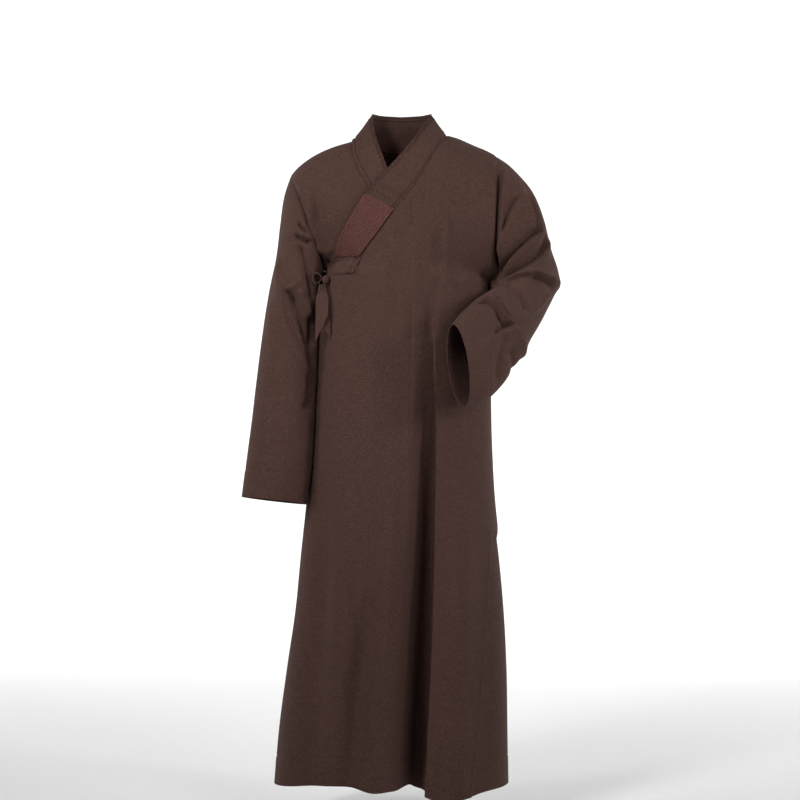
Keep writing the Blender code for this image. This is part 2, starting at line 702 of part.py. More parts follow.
def sleeve_surface(sections, folds, side):
    """Outer face of a sleeve, as a function of turn and along."""
    def plain(turn, along):
        turn = np.mod(turn, 2.0)
        point = sleeve_section(turn, along, sections, side)
        edge = armhole(turn, side)[0]
        start = sleeve_section(turn, np.zeros_like(along), sections, side)
        reach = np.clip(1 - along / ARMHOLE_REACH, 0, 1) ** 2
        return point + (edge - start) * reach[..., None]

    def folded(turn, along):
        height = crease_height(np.mod(turn, 2.0), along, folds) * ease(along / 0.8)
        return plain(turn, along) + height[..., None] * sleeve_normal(plain, turn, along, side)

    return folded


def sleeve_normal(point, turn, along, side):
    """Outward normal of a sleeve."""
    step = 0.002
    around = unit(point(turn + step, along) - point(turn - step, along))
    low = np.maximum(along - step, 0)
    down = unit(point(turn, along + step) - point(turn, low))
    return -side * unit(np.cross(around, down))


def make_sleeve(name, sections, folds, side, cloth):
    """Sleeve tube from the armhole to the open cuff."""
    last = len(sections["depth"]) - 1
    turns = np.arange(2 * ROWS_CHEST) / ROWS_CHEST
    alongs = last * np.linspace(0, 1, SLEEVE_ROWS + 1)
    along, turn = np.meshgrid(alongs, turns, indexing="ij")
    surface = sleeve_surface(sections, folds, side)
    outer = surface(turn, along)
    normal = sleeve_normal(surface, turn, along, side)
    edge, body_normal = armhole(turn[0], side)
    around = unit(np.roll(edge, -1, axis=0) - np.roll(edge, 1, axis=0))
    away = side * unit(np.cross(around, body_normal))
    outer[0] = edge + SEAM_GAP * away
    into_body = np.maximum(np.sum(normal[0] * away, axis=-1), 0)[:, None]
    inward = unit(-normal[0] + into_body * away)
    inner = outer - WALL * normal
    inner[0] = outer[0] + WALL * inward
    wall(name, outer, inner, cloth, ring=True)


# ---------------------------------------------------------------- collar

# Stations along each band from the centre back. Where lie is 1 the band lies on the
# body; where it is 0 it stands straight from its seam to its free edge.
OUTER_BAND = table("seam_x free_x free_y free_z lie", [
    (0.0000, 0.0000, 0.062, 0.057, 0),
    (0.0348, 0.0260, 0.058, 0.058, 0),
    (0.0620, 0.0450, 0.044, 0.058, 0),
    (0.0832, 0.0570, 0.024, 0.058, 0),
    (0.0968, 0.0640, 0.000, 0.056, 0),
    (0.0945, 0.0615, -0.010, 0.0490, 0),
    (0.0880, 0.0565, -0.022, 0.0420, 0),
    (0.0785, 0.0490, -0.036, 0.0320, 0),
    (0.0601, 0.0313, -0.062, 0.0047, 0),
    (0.0407, 0.0040, -0.084, -0.0310, 0.25),
    (0.0188, -0.0250, -0.100, -0.0665, 0.8),
    (-0.0072, -0.0560, -0.108, -0.0990, 1),
    (-0.0265, -0.0800, -0.112, -0.1270, 1),
    (-0.0461, -0.1015, -0.112, -0.1590, 1),
    (-0.0675, -0.1210, -0.110, -0.1930, 1),
    (-0.0882, -0.1375, -0.100, -0.2320, 1),
    (-0.1052, -0.1458, -0.090, -0.2940, 1),
])
INNER_BAND = table("seam_x free_x free_y free_z lie", [
    (0.0000, 0.0000, 0.062, 0.057, 0),
    (-0.0403, -0.0260, 0.058, 0.058, 0),
    (-0.0717, -0.0455, 0.044, 0.058, 0),
    (-0.0963, -0.0575, 0.024, 0.058, 0),
    (-0.1120, -0.0645, 0.000, 0.056, 0),
    (-0.1118, -0.0640, -0.010, 0.0480, 0),
    (-0.1108, -0.0628, -0.020, 0.0385, 0),
    (-0.1090, -0.0610, -0.031, 0.0280, 0),
    (-0.1055, -0.0585, -0.042, 0.0150, 0),
    (-0.0985, -0.0530, -0.060, -0.0050, 0.15),
    (-0.0765, -0.0380, -0.086, -0.0500, 0.7),
    (-0.0462, -0.0120, -0.105, -0.1100, 1),
    (-0.0168, 0.0150, -0.112, -0.1620, 1),
    (0.0040, 0.0350, -0.115, -0.2050, 1),
])
BACK_STATIONS = 4       # stations before the one on the shoulder line
BAND_COLUMNS = 5
BAND_BULGE = 0.004
BAND_LIFT = 0.0014      # a lying band stands this far off the body line
PATCH = {"top": (11.35, 11.95), "low": (14.78, 15.36), "inset": 0.07, "ribs": 13}
PATCH_ROWS = (12, 12.5, 13, 13.5, 14, 14.5)     # stations with a row of points
PATCH_BEND = 15                                 # station where the band bends
PATCH_GAP = 0.0009
PATCH_WALL = 0.0012
RIB_HEIGHT = 0.0008


def seam_position(x, seam, surface, neck, station):
    """Point and normal of the body under one station of a collar seam."""
    if station <= BACK_STATIONS:
        level = nape_level(np.array([x]), neck)
        phi = angle_at(np.array([x]), level)
        return back(phi, level)[0], surface_normal(back, phi, level, -1)[0]
    level = seam_tops([x], seam)
    phi = angle_at(np.array([x]), level)
    return surface(phi, level)[0], surface_normal(surface, phi, level, 1)[0]


def halved(values):
    """Values with the straight-line middle between each two put in."""
    middle = (values[:-1] + values[1:]) / 2
    order = np.argsort(np.concatenate([np.arange(len(values)), np.arange(len(middle)) + 0.5]))
    return np.concatenate([values, middle])[order]


def band_grid(stations, seam, surface, neck):
    """Outer face and normals of a collar band: two rows for each station."""
    found = [seam_position(x, seam, surface, neck, i) for i, x in enumerate(stations["seam_x"])]
    start = halved(np.array([point for point, _ in found]))
    body_normal = unit(halved(np.array([normal for _, normal in found])))
    knots = np.arange(len(found), dtype=float)
    fine = halved(knots)
    free = np.stack([smooth_curve(fine, knots, stations["free_" + axis]) for axis in "xyz"], axis=-1)
    lie = np.clip(smooth_curve(fine, knots, stations["lie"]), 0, 1)[:, None]
    shares = np.linspace(0, 1, BAND_COLUMNS)
    grid = start[:, None] + (free - start)[:, None] * shares[None, :, None]
    level = level_at(grid[..., 0], grid[..., 2])
    lying = surface(angle_at(grid[..., 0], level), level)
    grid[:, 1:] += ((lying - grid) * lie[..., None])[:, 1:]
    bulge = BAND_BULGE * (1 - lie) * np.sin(np.pi * shares)
    lift = BAND_LIFT * lie * ease(shares / 0.25)
    grid = grid + (bulge + lift)[..., None] * grid_normal(grid)
    normal = grid_normal(grid)
    normal[:, 0] = unit(normal[:, 0] + (body_normal - normal[:, 0]) * lie)
    normal[0] = unit(normal[0] * np.array([0.0, 1.0, 1.0]))
    return grid, normal


def grid_normal(grid):
    """Normals of a grid, pointing away from the neck and chest."""
    along = np.gradient(grid, axis=0)
    across = np.gradient(grid, axis=1)
    normal = unit(np.cross(along, across))
    outward = grid - np.array([0.0, 0.01, -0.12])
    outward[..., 2] *= 0.3
    return normal * np.sign(np.sum(normal * outward, axis=-1, keepdims=True))


def make_band(name, stations, seam, surface, neck, cloth):
    """Collar band as a wall. Returns its outer face and normals."""
    grid, normal = band_grid(stations, seam, surface, neck)
    cut = grid.copy()
    cut[:, 0] += SEAM_GAP * unit(grid[:, 1] - grid[:, 0])
    cut[0] += SEAM_GAP / 2 * unit(grid[1] - grid[0])
    cut[-1] += SEAM_GAP / 2 * unit(grid[-2] - grid[-1])
    wall(name, cut, cut - BAND_WALL * normal, cloth)
    return cut, normal


def grid_value(grid, row, column):
    """Straight-line value between the points of a grid."""
    i = np.clip(np.floor(row).astype(int), 0, grid.shape[0] - 2)
    j = np.clip(np.floor(column).astype(int), 0, grid.shape[1] - 2)
    a = (row - i)[..., None]
    b = (column - j)[..., None]
    top = grid[i, j] * (1 - b) + grid[i, j + 1] * b
    low = grid[i + 1, j] * (1 - b) + grid[i + 1, j + 1] * b
    return top * (1 - a) + low * a


def make_patch(grid, normal, cloth):
    """Ribbed patch on the outer band, from the band's own points, moved out."""
    across = np.linspace(PATCH["inset"], 1 - PATCH["inset"], 2 * PATCH["ribs"] + 1)
    top = PATCH["top"][0] + (PATCH["top"][1] - PATCH["top"][0]) * across
    low = PATCH["low"][0] + (PATCH["low"][1] - PATCH["low"][0]) * across
    stations = [top] + [np.full(len(across), station) for station in PATCH_ROWS]
    stations += [np.where(low > PATCH_BEND, PATCH_BEND, (PATCH_ROWS[-1] + low) / 2), low]
    row = 2 * np.array(stations)
    column = np.broadcast_to(across, row.shape) * (BAND_COLUMNS - 1)
    under = grid_value(grid, row, column)
    out = unit(grid_value(normal, row, column))
    rib = RIB_HEIGHT * (np.arange(len(across)) % 2)[None, :, None]
    inner = under + PATCH_GAP * out
    wall("collar_patch", inner + (PATCH_WALL + rib) * out, inner, cloth)


# ---------------------------------------------------------------- side tie

TIE_Y = -0.0702
TIE_KNOT = {"at": (-0.1610, TIE_Y, -0.3045), "size": (0.014, 0.015, 0.018), "round": 0.004}
TIE_LOOP = {"at": (-0.1793, TIE_Y, -0.3010), "radius": (0.0110, 0.0125), "width": 0.011}
LOOP_TURN = 0.12        # how far the loop is turned from the front
TIE_WALL = 0.0018
TAIL_LEAN = 0.018       # the tails hang clear of the chest
TAIL_TOP_WIDTH = 0.55   # share of its full width
TAILS = table("x y_top z_top width length slant lean", [
    (-0.1680, TIE_Y - 0.0045, -0.3139, 0.024, 0.114, 0.022, -0.003),
    (-0.1640, TIE_Y + 0.0010, -0.3139, 0.021, 0.108, -0.014, 0.004),
])


def make_knot(cloth):
    """Small rounded knot."""
    mesh = bpy.data.meshes.new("tie_knot")
    form = bmesh.new()
    bmesh.ops.create_cube(form, size=1.0)
    for vertex in form.verts:
        for axis in range(3):
            vertex.co[axis] *= TIE_KNOT["size"][axis]
    bmesh.ops.bevel(form, geom=form.edges[:], offset=TIE_KNOT["round"], segments=2,
                    affect="EDGES")
    bmesh.ops.triangulate(form, faces=form.faces[:])
    form.to_mesh(mesh)
    form.free()
    mesh.shade_smooth()
    mesh.materials.append(cloth)
    made = bpy.data.objects.new("tie_knot", mesh)
    made.location = TIE_KNOT["at"]
    bpy.context.scene.collection.objects.link(made)


def make_loop(cloth):
    """Flat loop of the tie, open to the front and the back."""
    widths = np.linspace(-0.5, 0.5, 4)
    angles = np.linspace(0, 2 * math.pi, 20, endpoint=False)
    width, angle = np.meshgrid(widths, angles, indexing="ij")

    def ring(shrink):
        across = (TIE_LOOP["radius"][0] - shrink) * np.cos(angle)
        x = TIE_LOOP["at"][0] + across
        y = TIE_LOOP["at"][1] + TIE_LOOP["width"] * width + LOOP_TURN * across
        z = TIE_LOOP["at"][2] + (TIE_LOOP["radius"][1] - shrink) * np.sin(angle)
        return np.stack([x, y, z], axis=-1)

    wall("tie_loop", ring(0.0), ring(TIE_WALL), cloth, ring=True)


def make_tail(name, i, cloth):
    """Flat hanging tail with a slanted end."""
    down = np.linspace(0, 1, 9)
    across = np.linspace(-0.5, 0.5, 5)
    down, across = np.meshgrid(down, across, indexing="ij")
    width = TAILS["width"][i] * (TAIL_TOP_WIDTH + (1 - TAIL_TOP_WIDTH) * ease(down / 0.4))
    length = TAILS["length"][i] + TAILS["slant"][i] * across * ease(down)
    x = TAILS["x"][i] + across * width + TAILS["lean"][i] * down
    y = TAILS["y_top"][i] - TAIL_LEAN * down
    z = TAILS["z_top"][i] - length * down
    front = np.stack([x, y, z], axis=-1)
    rear = front + np.array([0.0, TIE_WALL, 0.0])
    wall(name, front, rear, cloth)


# ---------------------------------------------------------------- robe

def main():
    """Clear the scene and build every piece of the robe."""
    for old in list(bpy.data.objects):
        bpy.data.objects.remove(old, do_unlink=True)
    brown = material("robe_cloth", (0.062, 0.040, 0.036), 0.92)
    red_brown = material("patch_cloth", (0.070, 0.028, 0.025), 0.92)
    make_back("back_left", NECK_LEFT, back_left_side, brown)
    make_back("back_right", NECK_RIGHT, back_right_side, brown)
    make_front_left(brown)
    make_front_overlap(brown)
    make_front_inner(brown)
    make_sleeve("sleeve_left", LEFT_SLEEVE, LEFT_SLEEVE_FOLDS, 1, brown)
    make_sleeve("sleeve_right", RIGHT_SLEEVE, RIGHT_SLEEVE_FOLDS, -1, brown)
    grid, normal = make_band("collar_left", OUTER_BAND, OUTER_SEAM, outer_front, NECK_LEFT, brown)
    make_band("collar_right", INNER_BAND, INNER_SEAM, inner_front, NECK_RIGHT, brown)
    make_patch(grid, normal, red_brown)
    make_knot(brown)
    make_loop(brown)
    make_tail("tie_tail_front", 0, brown)
    make_tail("tie_tail_back", 1, brown)


main()
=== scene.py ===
"""Looks of the long worn wrap robe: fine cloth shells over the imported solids.

Metres, +Z up. The front faces -Y and the wearer's left is +X. The body and sleeve forms
repeat the sizes of the solids; creases, hems, stitching and cloth are added here.
"""

import math

import bmesh
import bpy
import numpy as np
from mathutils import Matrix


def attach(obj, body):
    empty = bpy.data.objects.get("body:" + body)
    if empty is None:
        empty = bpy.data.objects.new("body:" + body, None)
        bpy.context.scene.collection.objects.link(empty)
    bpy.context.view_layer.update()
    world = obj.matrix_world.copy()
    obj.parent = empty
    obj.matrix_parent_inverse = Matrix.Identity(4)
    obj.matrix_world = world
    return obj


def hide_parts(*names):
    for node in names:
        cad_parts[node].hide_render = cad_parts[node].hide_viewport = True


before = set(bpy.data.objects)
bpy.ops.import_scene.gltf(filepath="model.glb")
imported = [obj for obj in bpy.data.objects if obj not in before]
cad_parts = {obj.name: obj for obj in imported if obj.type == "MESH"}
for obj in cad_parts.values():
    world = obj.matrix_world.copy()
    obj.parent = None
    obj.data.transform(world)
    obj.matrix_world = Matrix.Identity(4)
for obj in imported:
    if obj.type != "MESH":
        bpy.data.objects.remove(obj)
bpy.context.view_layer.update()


def table(names, rows):
    """Columns of a table of numbers, by name."""
    return dict(zip(names.split(), np.array(rows, dtype=float).T))


# Cloth
LAP = 0.0056            # outer front lies this far outside the inner front
TINY = 1e-4             # step of the numeric slopes

# Body
UNDERARM_RIGHT = 0.285
UNDERARM_LEFT = 0.315
HEM = 1.388
UNDERARM = 0.30         # nominal drop of the row between chest and skirt
SQUARENESS = 0.10
HEM_MIDDLE = -0.0180
HEM_HALF_WIDTH = 0.2530
SLIT = 0.80             # drop of the top of the side slits
SLIT_TUCK = 0.0062      # back panels pass this far inside the front ones below the slits
TUCK_START = 0.755
TUCK_RUN = 0.06
TUCK_ACROSS = 0.5       # the tuck fades out between this part of the width and the next
TUCK_FADE = 0.3
SIDE_FADE = 0.3         # back folds fade out this near the sides
SLIT_LAP = 0.035
SLIT_LAP_ANGLE = 0.16   # the same lap at the right side, as an angle
LAP_START = 0.79
LAP_RUN = 0.06
SLIT_EASE = 0.09        # run in which the front edge leaves the side seam
OVERLAP_X = 0.165       # right of this the outer front starts to leave the body line
OVERLAP_RUN = 0.06

# Shoulders and armholes
SHOULDER_RIGHT = (-0.239, -0.079)       # x, z
SHOULDER_LEFT = (0.203, -0.036)
CROWN = 0.0027                          # height of the shoulder line at the middle
LEFT_RISE = 0.012                       # its further rise beside the left of the neck
LEFT_RISE_RUN = 0.55
ARMHOLE_DEPTH = 0.088
CHEST_ROUND = 0.62
CHEST_FLAT = 0.85                       # 0.5 is round at the armholes, 1 is flat
SHOULDER_FLAT = 0.68
ARCH_END = 0.05
SIDE_POWERS = (1.2, 0.6)                # how the right and left armholes lean in
ARMPIT_LEVEL = 0.1                      # the chest is round only this close to the underarm

# Neck
NECK_RIGHT = -0.112
NECK_LEFT = 0.0968
NAPE_DIP = 0.33                         # how far the back neckline dips, as a level
SEAM_FRONT = 0.0188                     # centre-front seam
BAND_END = 0.2946                       # drop of the end of the outer band
FREE_EDGE_ANGLE = 0.13                  # free edge of the overlap, from the right side

SECTIONS = table("drop right left front back", [
    (0.25, -0.165, 0.182, 0.122, 0.112),
    (0.35, -0.169, 0.188, 0.125, 0.113),
    (0.48, -0.176, 0.191, 0.129, 0.116),
    (0.64, -0.187, 0.1935, 0.133, 0.126),
    (0.79, -0.202, 0.202, 0.136, 0.137),
    (0.89, -0.213, 0.214, 0.138, 0.145),
    (1.01, -0.225, 0.225, 0.142, 0.153),
    (1.13, -0.242, 0.231, 0.146, 0.160),
    (1.26, -0.259, 0.233, 0.151, 0.168),
    (1.40, -0.271, 0.235, 0.156, 0.175),
])

# The hem rises above its lowest line by this much
HEM_RISES = table("x rise", [
    (-0.267, 0.010), (-0.200, 0.020), (-0.120, 0.022), (-0.060, 0.014), (-0.020, 0.018),
    (0.020, 0.020), (0.042, 0.008), (0.060, 0.000), (0.125, 0.000), (0.160, 0.006),
    (0.226, 0.010),
])

# Folds run from a top point to a low point. Height is positive for a ridge.
FOLD_TOP_WIDTH = 0.55   # width of a fold at its top, as a share of its full width
FOLD_FADE = 0.45        # share of its length over which a fold grows
FRONT_FOLDS = table("x_top drop_top x_low drop_low height width", [
    (-0.012, 0.62, -0.056, 1.40, 0.020, 0.036),
    (-0.150, 0.60, -0.200, 1.40, -0.022, 0.034),
    (-0.060, 0.92, -0.112, 1.40, -0.024, 0.045),
    (0.125, 0.70, 0.098, 1.40, 0.024, 0.055),
    (-0.005, 0.22, -0.017, 0.48, -0.005, 0.018),
    (0.070, 0.20, 0.075, 0.31, -0.004, 0.012),
    (0.100, 0.15, 0.125, 0.38, -0.006, 0.016),
    (0.058, 0.32, 0.058, 0.47, -0.004, 0.013),
    (-0.188, 0.11, -0.158, 0.27, -0.007, 0.016),
    (-0.108, 0.88, -0.090, 1.08, -0.004, 0.014),
])
BACK_FOLDS = table("x_top drop_top x_low drop_low height width", [
    (-0.105, 0.52, -0.150, 1.40, -0.022, 0.036),
    (0.022, 0.56, 0.040, 1.40, -0.019, 0.040),
    (0.115, 0.58, 0.130, 1.40, 0.018, 0.042),
    (-0.040, 0.66, -0.065, 1.40, 0.014, 0.040),
    (-0.045, 0.12, -0.110, 0.30, -0.005, 0.016),
    (0.055, 0.12, 0.130, 0.29, -0.005, 0.016),
])

# The deep box-like fold beside the centre-front seam: soft right side, sharp left edge.
RECESS = table("drop soft edge depth", [
    (0.38, 0.030, 0.066, 0.000),
    (0.46, 0.026, 0.069, 0.006),
    (0.56, 0.020, 0.070, 0.022),
    (0.72, 0.013, 0.069, 0.042),
    (0.90, 0.003, 0.066, 0.060),
    (1.05, -0.009, 0.062, 0.074),
    (1.20, -0.017, 0.055, 0.086),
    (1.30, -0.020, 0.050, 0.094),
    (1.40, -0.020, 0.045, 0.100),
])
RECESS_WALL = 0.005
RECESS_SOFT_SHARE = 0.85

SLIT_EDGE = table("drop x", [
    (0.80, 0.1965), (0.87, 0.190), (0.987, 0.181), (1.159, 0.1685), (1.279, 0.158), (1.40, 0.139),
])

# Collar seam and free edge of the outer band, from the neck to the right underarm
OUTER_SEAM = table("x z", [
    (-0.1052, -0.2941), (-0.0882, -0.2633), (-0.0675, -0.2360), (-0.0461, -0.2075),
    (-0.0265, -0.1800), (-0.0072, -0.1544), (0.0188, -0.1230), (0.0407, -0.0907),
    (0.0601, -0.0552), (0.0785, -0.0240), (0.0880, -0.0155), (0.0945, -0.0095), (0.0968, 0.0),
])
INNER_SEAM = table("x z", [
    (-0.1120, 0.0), (-0.1118, -0.0090), (-0.1108, -0.0150), (-0.1090, -0.0260),
    (-0.1055, -0.0444), (-0.0985, -0.0682), (-0.0765, -0.1085), (-0.0462, -0.1605),
    (-0.0168, -0.2138), (0.0040, -0.2500),
])

# Left edge of the right front, under the overlap
INNER_EDGE = table("drop x", [
    (0.25, 0.004), (0.35, -0.014), (0.60, -0.018), (1.00, -0.034), (1.40, -0.045),
])

ROWS_CHEST = 10
ROWS_SKIRT = 16
YOKE = 3 / ROWS_SKIRT   # level below which the rows of all panels agree
SIDE_ANGLE = {-1: 0.0, 1: math.pi}      # phi of the right and left side seams
AT_SIDE = 0.01
SEAM_LEVEL = -0.15      # columns leave their places at the collar seam below this level
SKIRT_RUN = 0.35        # and reach their places in the skirt over this much of it

# Sleeves
# Each section runs from its inner end, next to the body, to its outer end.
RIGHT_SLEEVE = table("x_in y_in z_in x_out y_out z_out depth", [
    (-0.167, 0.000, -0.285, -0.239, 0.000, -0.079, 0.085),
    (-0.1697, -0.002, -0.304, -0.2535, 0.000, -0.125, 0.083),
    (-0.1710, -0.006, -0.338, -0.262, 0.000, -0.185, 0.079),
    (-0.1735, -0.012, -0.384, -0.270, -0.004, -0.255, 0.074),
    (-0.1755, -0.016, -0.435, -0.286, -0.010, -0.335, 0.070),
    (-0.1780, -0.022, -0.490, -0.300, -0.018, -0.430, 0.067),
    (-0.1820, -0.028, -0.560, -0.311, -0.026, -0.520, 0.065),
    (-0.1860, -0.034, -0.625, -0.320, -0.034, -0.600, 0.064),
    (-0.1915, -0.040, -0.700, -0.331, -0.042, -0.688, 0.063),
    (-0.2040, -0.046, -0.781, -0.3405, -0.050, -0.765, 0.062),
])
LEFT_SLEEVE = table("x_in y_in z_in x_out y_out z_out depth", [
    (0.183, 0.000, -0.315, 0.203, 0.000, -0.036, 0.085),
    (0.1895, -0.005, -0.3300, 0.2365, 0.005, -0.060, 0.084),
    (0.1900, -0.014, -0.3325, 0.280, 0.010, -0.110, 0.080),
    (0.188, -0.026, -0.3285, 0.3045, 0.016, -0.170, 0.075),
    (0.189, -0.042, -0.322, 0.317, 0.020, -0.235, 0.070),
    (0.196, -0.062, -0.320, 0.331, 0.020, -0.310, 0.063),
    (0.198, -0.086, -0.322, 0.294, -0.015, -0.385, 0.056),
    (0.188, -0.112, -0.328, 0.256, -0.065, -0.447, 0.049),
    (0.172, -0.138, -0.338, 0.220, -0.115, -0.508, 0.043),
    (0.149, -0.166, -0.355, 0.186, -0.158, -0.549, 0.038),
    (0.124, -0.195, -0.380, 0.156, -0.190, -0.568, 0.034),
    (0.104, -0.218, -0.405, 0.127, -0.214, -0.575, 0.031),
])
ARMHOLE_REACH = 2.5     # sections over which a sleeve leaves the armhole's own shape

# Collar
# Stations along each band from the centre back. Where lie is 1 the band lies on the
# body; where it is 0 it stands straight from its seam to its free edge.
OUTER_BAND = table("seam_x free_x free_y free_z lie", [
    (0.0000, 0.0000, 0.062, 0.057, 0),
    (0.0348, 0.0260, 0.058, 0.058, 0),
    (0.0620, 0.0450, 0.044, 0.058, 0),
    (0.0832, 0.0570, 0.024, 0.058, 0),
    (0.0968, 0.0640, 0.000, 0.056, 0),
    (0.0945, 0.0615, -0.010, 0.0490, 0),
    (0.0880, 0.0565, -0.022, 0.0420, 0),
    (0.0785, 0.0490, -0.036, 0.0320, 0),
    (0.0601, 0.0313, -0.062, 0.0047, 0),
    (0.0407, 0.0040, -0.084, -0.0310, 0.25),
    (0.0188, -0.0250, -0.100, -0.0665, 0.8),
    (-0.0072, -0.0560, -0.108, -0.0990, 1),
    (-0.0265, -0.0800, -0.112, -0.1270, 1),
    (-0.0461, -0.1015, -0.112, -0.1590, 1),
    (-0.0675, -0.1210, -0.110, -0.1930, 1),
    (-0.0882, -0.1375, -0.100, -0.2320, 1),
    (-0.1052, -0.1458, -0.090, -0.2940, 1),
])
INNER_BAND = table("seam_x free_x free_y free_z lie", [
    (0.0000, 0.0000, 0.062, 0.057, 0),
    (-0.0403, -0.0260, 0.058, 0.058, 0),
    (-0.0717, -0.0455, 0.044, 0.058, 0),
    (-0.0963, -0.0575, 0.024, 0.058, 0),
    (-0.1120, -0.0645, 0.000, 0.056, 0),
    (-0.1118, -0.0640, -0.010, 0.0480, 0),
    (-0.1108, -0.0628, -0.020, 0.0385, 0),
    (-0.1090, -0.0610, -0.031, 0.0280, 0),
    (-0.1055, -0.0585, -0.042, 0.0150, 0),
    (-0.0985, -0.0530, -0.060, -0.0050, 0.15),
    (-0.0765, -0.0380, -0.086, -0.0500, 0.7),
    (-0.0462, -0.0120, -0.105, -0.1100, 1),
    (-0.0168, 0.0150, -0.112, -0.1620, 1),
    (0.0040, 0.0350, -0.115, -0.2050, 1),
])
NECK_INSIDE = (0.0, 0.01, -0.12)        # a point that all bands face away from
NECK_UPRIGHT = 0.3      # share of the height that counts in that direction
LIFT_SHARE = 0.25       # a lying band rises from its seam over this share of its width
BACK_STATIONS = 4       # stations before the one on the shoulder line
BAND_COLUMNS = 5
BAND_BULGE = -0.002
BAND_LIFT = 0.0014      # a lying band stands this far off the body line

# ---------------------------------------------------------------- fine cloth

UNDERCUT = 0.012        # how far the deep fold passes under its left edge
UNDERCUT_REACH = 0.022  # it begins this far from that edge
UNDERCUT_GROWS = 0.6    # and is full after this share of the reach
UNDERCUT_PAST = 0.001   # it ends this far past the edge
UNDERCUT_END = 0.004    # over this run
UNDERCUT_SHARE = 0.35   # at most this share of the fold's depth
THICK = 0.0016          # cloth with its turned edges
BAND_THICK = 0.0026     # folded band
BAND_ROUND = 0.0013     # radius of the band's folded free edge
BAND_TURN = 0.005       # seam allowance of the band, turned in under the neckline
BAND_END_DROP = 0.0012  # the end of a band is pressed down over this much of its length
BAND_END_RUN = 0.006
SEAM_TURN = 0.0013      # how far the cloth turns in at a seam
SEAM_TURN_WIDTH = 0.0026
NECK_TURN = 0.0004
SLEEVE_SEAM_TURN = 0.0007
FRONT_SEAM_TURN = 0.0006        # at the first edge of a panel
HEM_DEPTH = 0.060
HEM_RISE = 0.0005
STITCH_DEPTH = 0.0012
STITCH_WIDTH = 0.0017
BAND_STITCH_DEPTH = 0.0023
CROSS_SEAM_WIDTH = 0.0023
RIM_ANGLE = 62          # degrees
END_TAPER = 0.20        # share of a crease's length over which it fades out
CREASE_POWER = 1.45     # 2 is a round crease, 1 a sharp one
CREASE_STEPS = 7
BODY_OPEN_END = 0.1     # share of its fade that a crease has already done at its very end
SLEEVE_OPEN_END = 0.25
STILL_RUN = 0.14        # sections beside the armhole in which the creases of a sleeve grow
DIP_POWER = 1.4
HEM_STEP = 0.002        # run of the small step at a hem's upper edge
HEM_STITCH = 0.0015     # stitching lies this far below that edge
BACK_FLARE = 1.15       # columns of the back spread this much from the neck to the skirt

FINE_CHEST = 6          # fine steps for each row or column of the solids
FINE_SKIRT = 14
FINE_COLUMNS = 5
FINE_SLEEVE = 17
SLEEVE_TURNS = 176
BAND_ROWS = 16
BAND_STEPS = 14
NEAR_EDGE = (0.045, 0.11)               # more steps close to a seam
HEM_ROWS = (0.02, 0.05, 0.845, 0.878, 0.911)
BAND_FOLD = (0.02, 0.04, 0.065, 0.10)
CUFF_SECTIONS = {-1: 0.76, 1: 2.0}      # sections from the cuff up to its hem line

BACK_NECK_SHARES = (0.0, 0.36, 0.64, 0.86, 1.0)
SKIRT_X = (-0.066, -0.092, -0.118, -0.144)
SIDE_SHARES = (0.36, 0.70, 1.0)

# Creases: height, width on each side, and the line as x and drop
FRONT_CREASES = [
    (0.0030, 0.003, 0.005, [(0.189, 0.82), (0.181, 0.987), (0.1685, 1.159), (0.158, 1.279), (0.139, 1.41)]),
    (-0.0030, 0.004, 0.004, [(0.196, 0.82), (0.188, 0.987), (0.1755, 1.159), (0.165, 1.279), (0.146, 1.41)]),
    (-0.0030, 0.012, 0.020, [(-0.117, 1.117), (-0.088, 1.326)]),
    (0.0022, 0.012, 0.016, [(0.150, 0.10), (0.158, 0.22), (0.165, 0.36)]),
    (-0.0022, 0.010, 0.014, [(0.040, 0.23), (0.046, 0.33), (0.042, 0.45)]),
    (0.0018, 0.010, 0.012, [(-0.052, 0.36), (-0.060, 0.55), (-0.078, 0.80)]),
    (-0.0020, 0.014, 0.010, [(-0.100, 0.34), (-0.112, 0.52), (-0.118, 0.66)]),
    (-0.0025, 0.012, 0.018, [(0.120, 0.42), (0.112, 0.62), (0.108, 0.80)]),
    (-0.0034, 0.004, 0.007, [(0.021, 0.130), (0.022, 0.170), (0.023, 0.205)]),
    (0.0024, 0.007, 0.007, [(0.038, 0.095), (0.036, 0.130), (0.034, 0.170)]),
    (-0.0024, 0.010, 0.010, [(0.004, 0.200), (0.006, 0.255), (0.009, 0.310)]),
    (-0.0040, 0.006, 0.009, [(0.077, 0.195), (0.080, 0.235), (0.082, 0.280)]),
    (-0.0034, 0.008, 0.010, [(0.076, 0.305), (0.070, 0.350), (0.063, 0.395)]),
    (0.0028, 0.010, 0.012, [(0.096, 0.150), (0.098, 0.200), (0.098, 0.255)]),
    (-0.0040, 0.007, 0.010, [(0.054, 0.335), (0.058, 0.385), (0.061, 0.435)]),
    (-0.0028, 0.009, 0.009, [(0.019, 0.350), (0.020, 0.395), (0.021, 0.440)]),
]
INNER_CREASES = [
    (0.0050, 0.006, 0.006, [(-0.198, 0.095), (-0.194, 0.148), (-0.192, 0.196), (-0.187, 0.238)]),
    (-0.0050, 0.006, 0.006, [(-0.184, 0.100), (-0.182, 0.155), (-0.179, 0.208)]),
    (0.0055, 0.006, 0.004, [(-0.187, 0.236), (-0.165, 0.243), (-0.147, 0.246)]),
    (-0.0070, 0.007, 0.008, [(-0.180, 0.250), (-0.168, 0.268), (-0.150, 0.272)]),
]
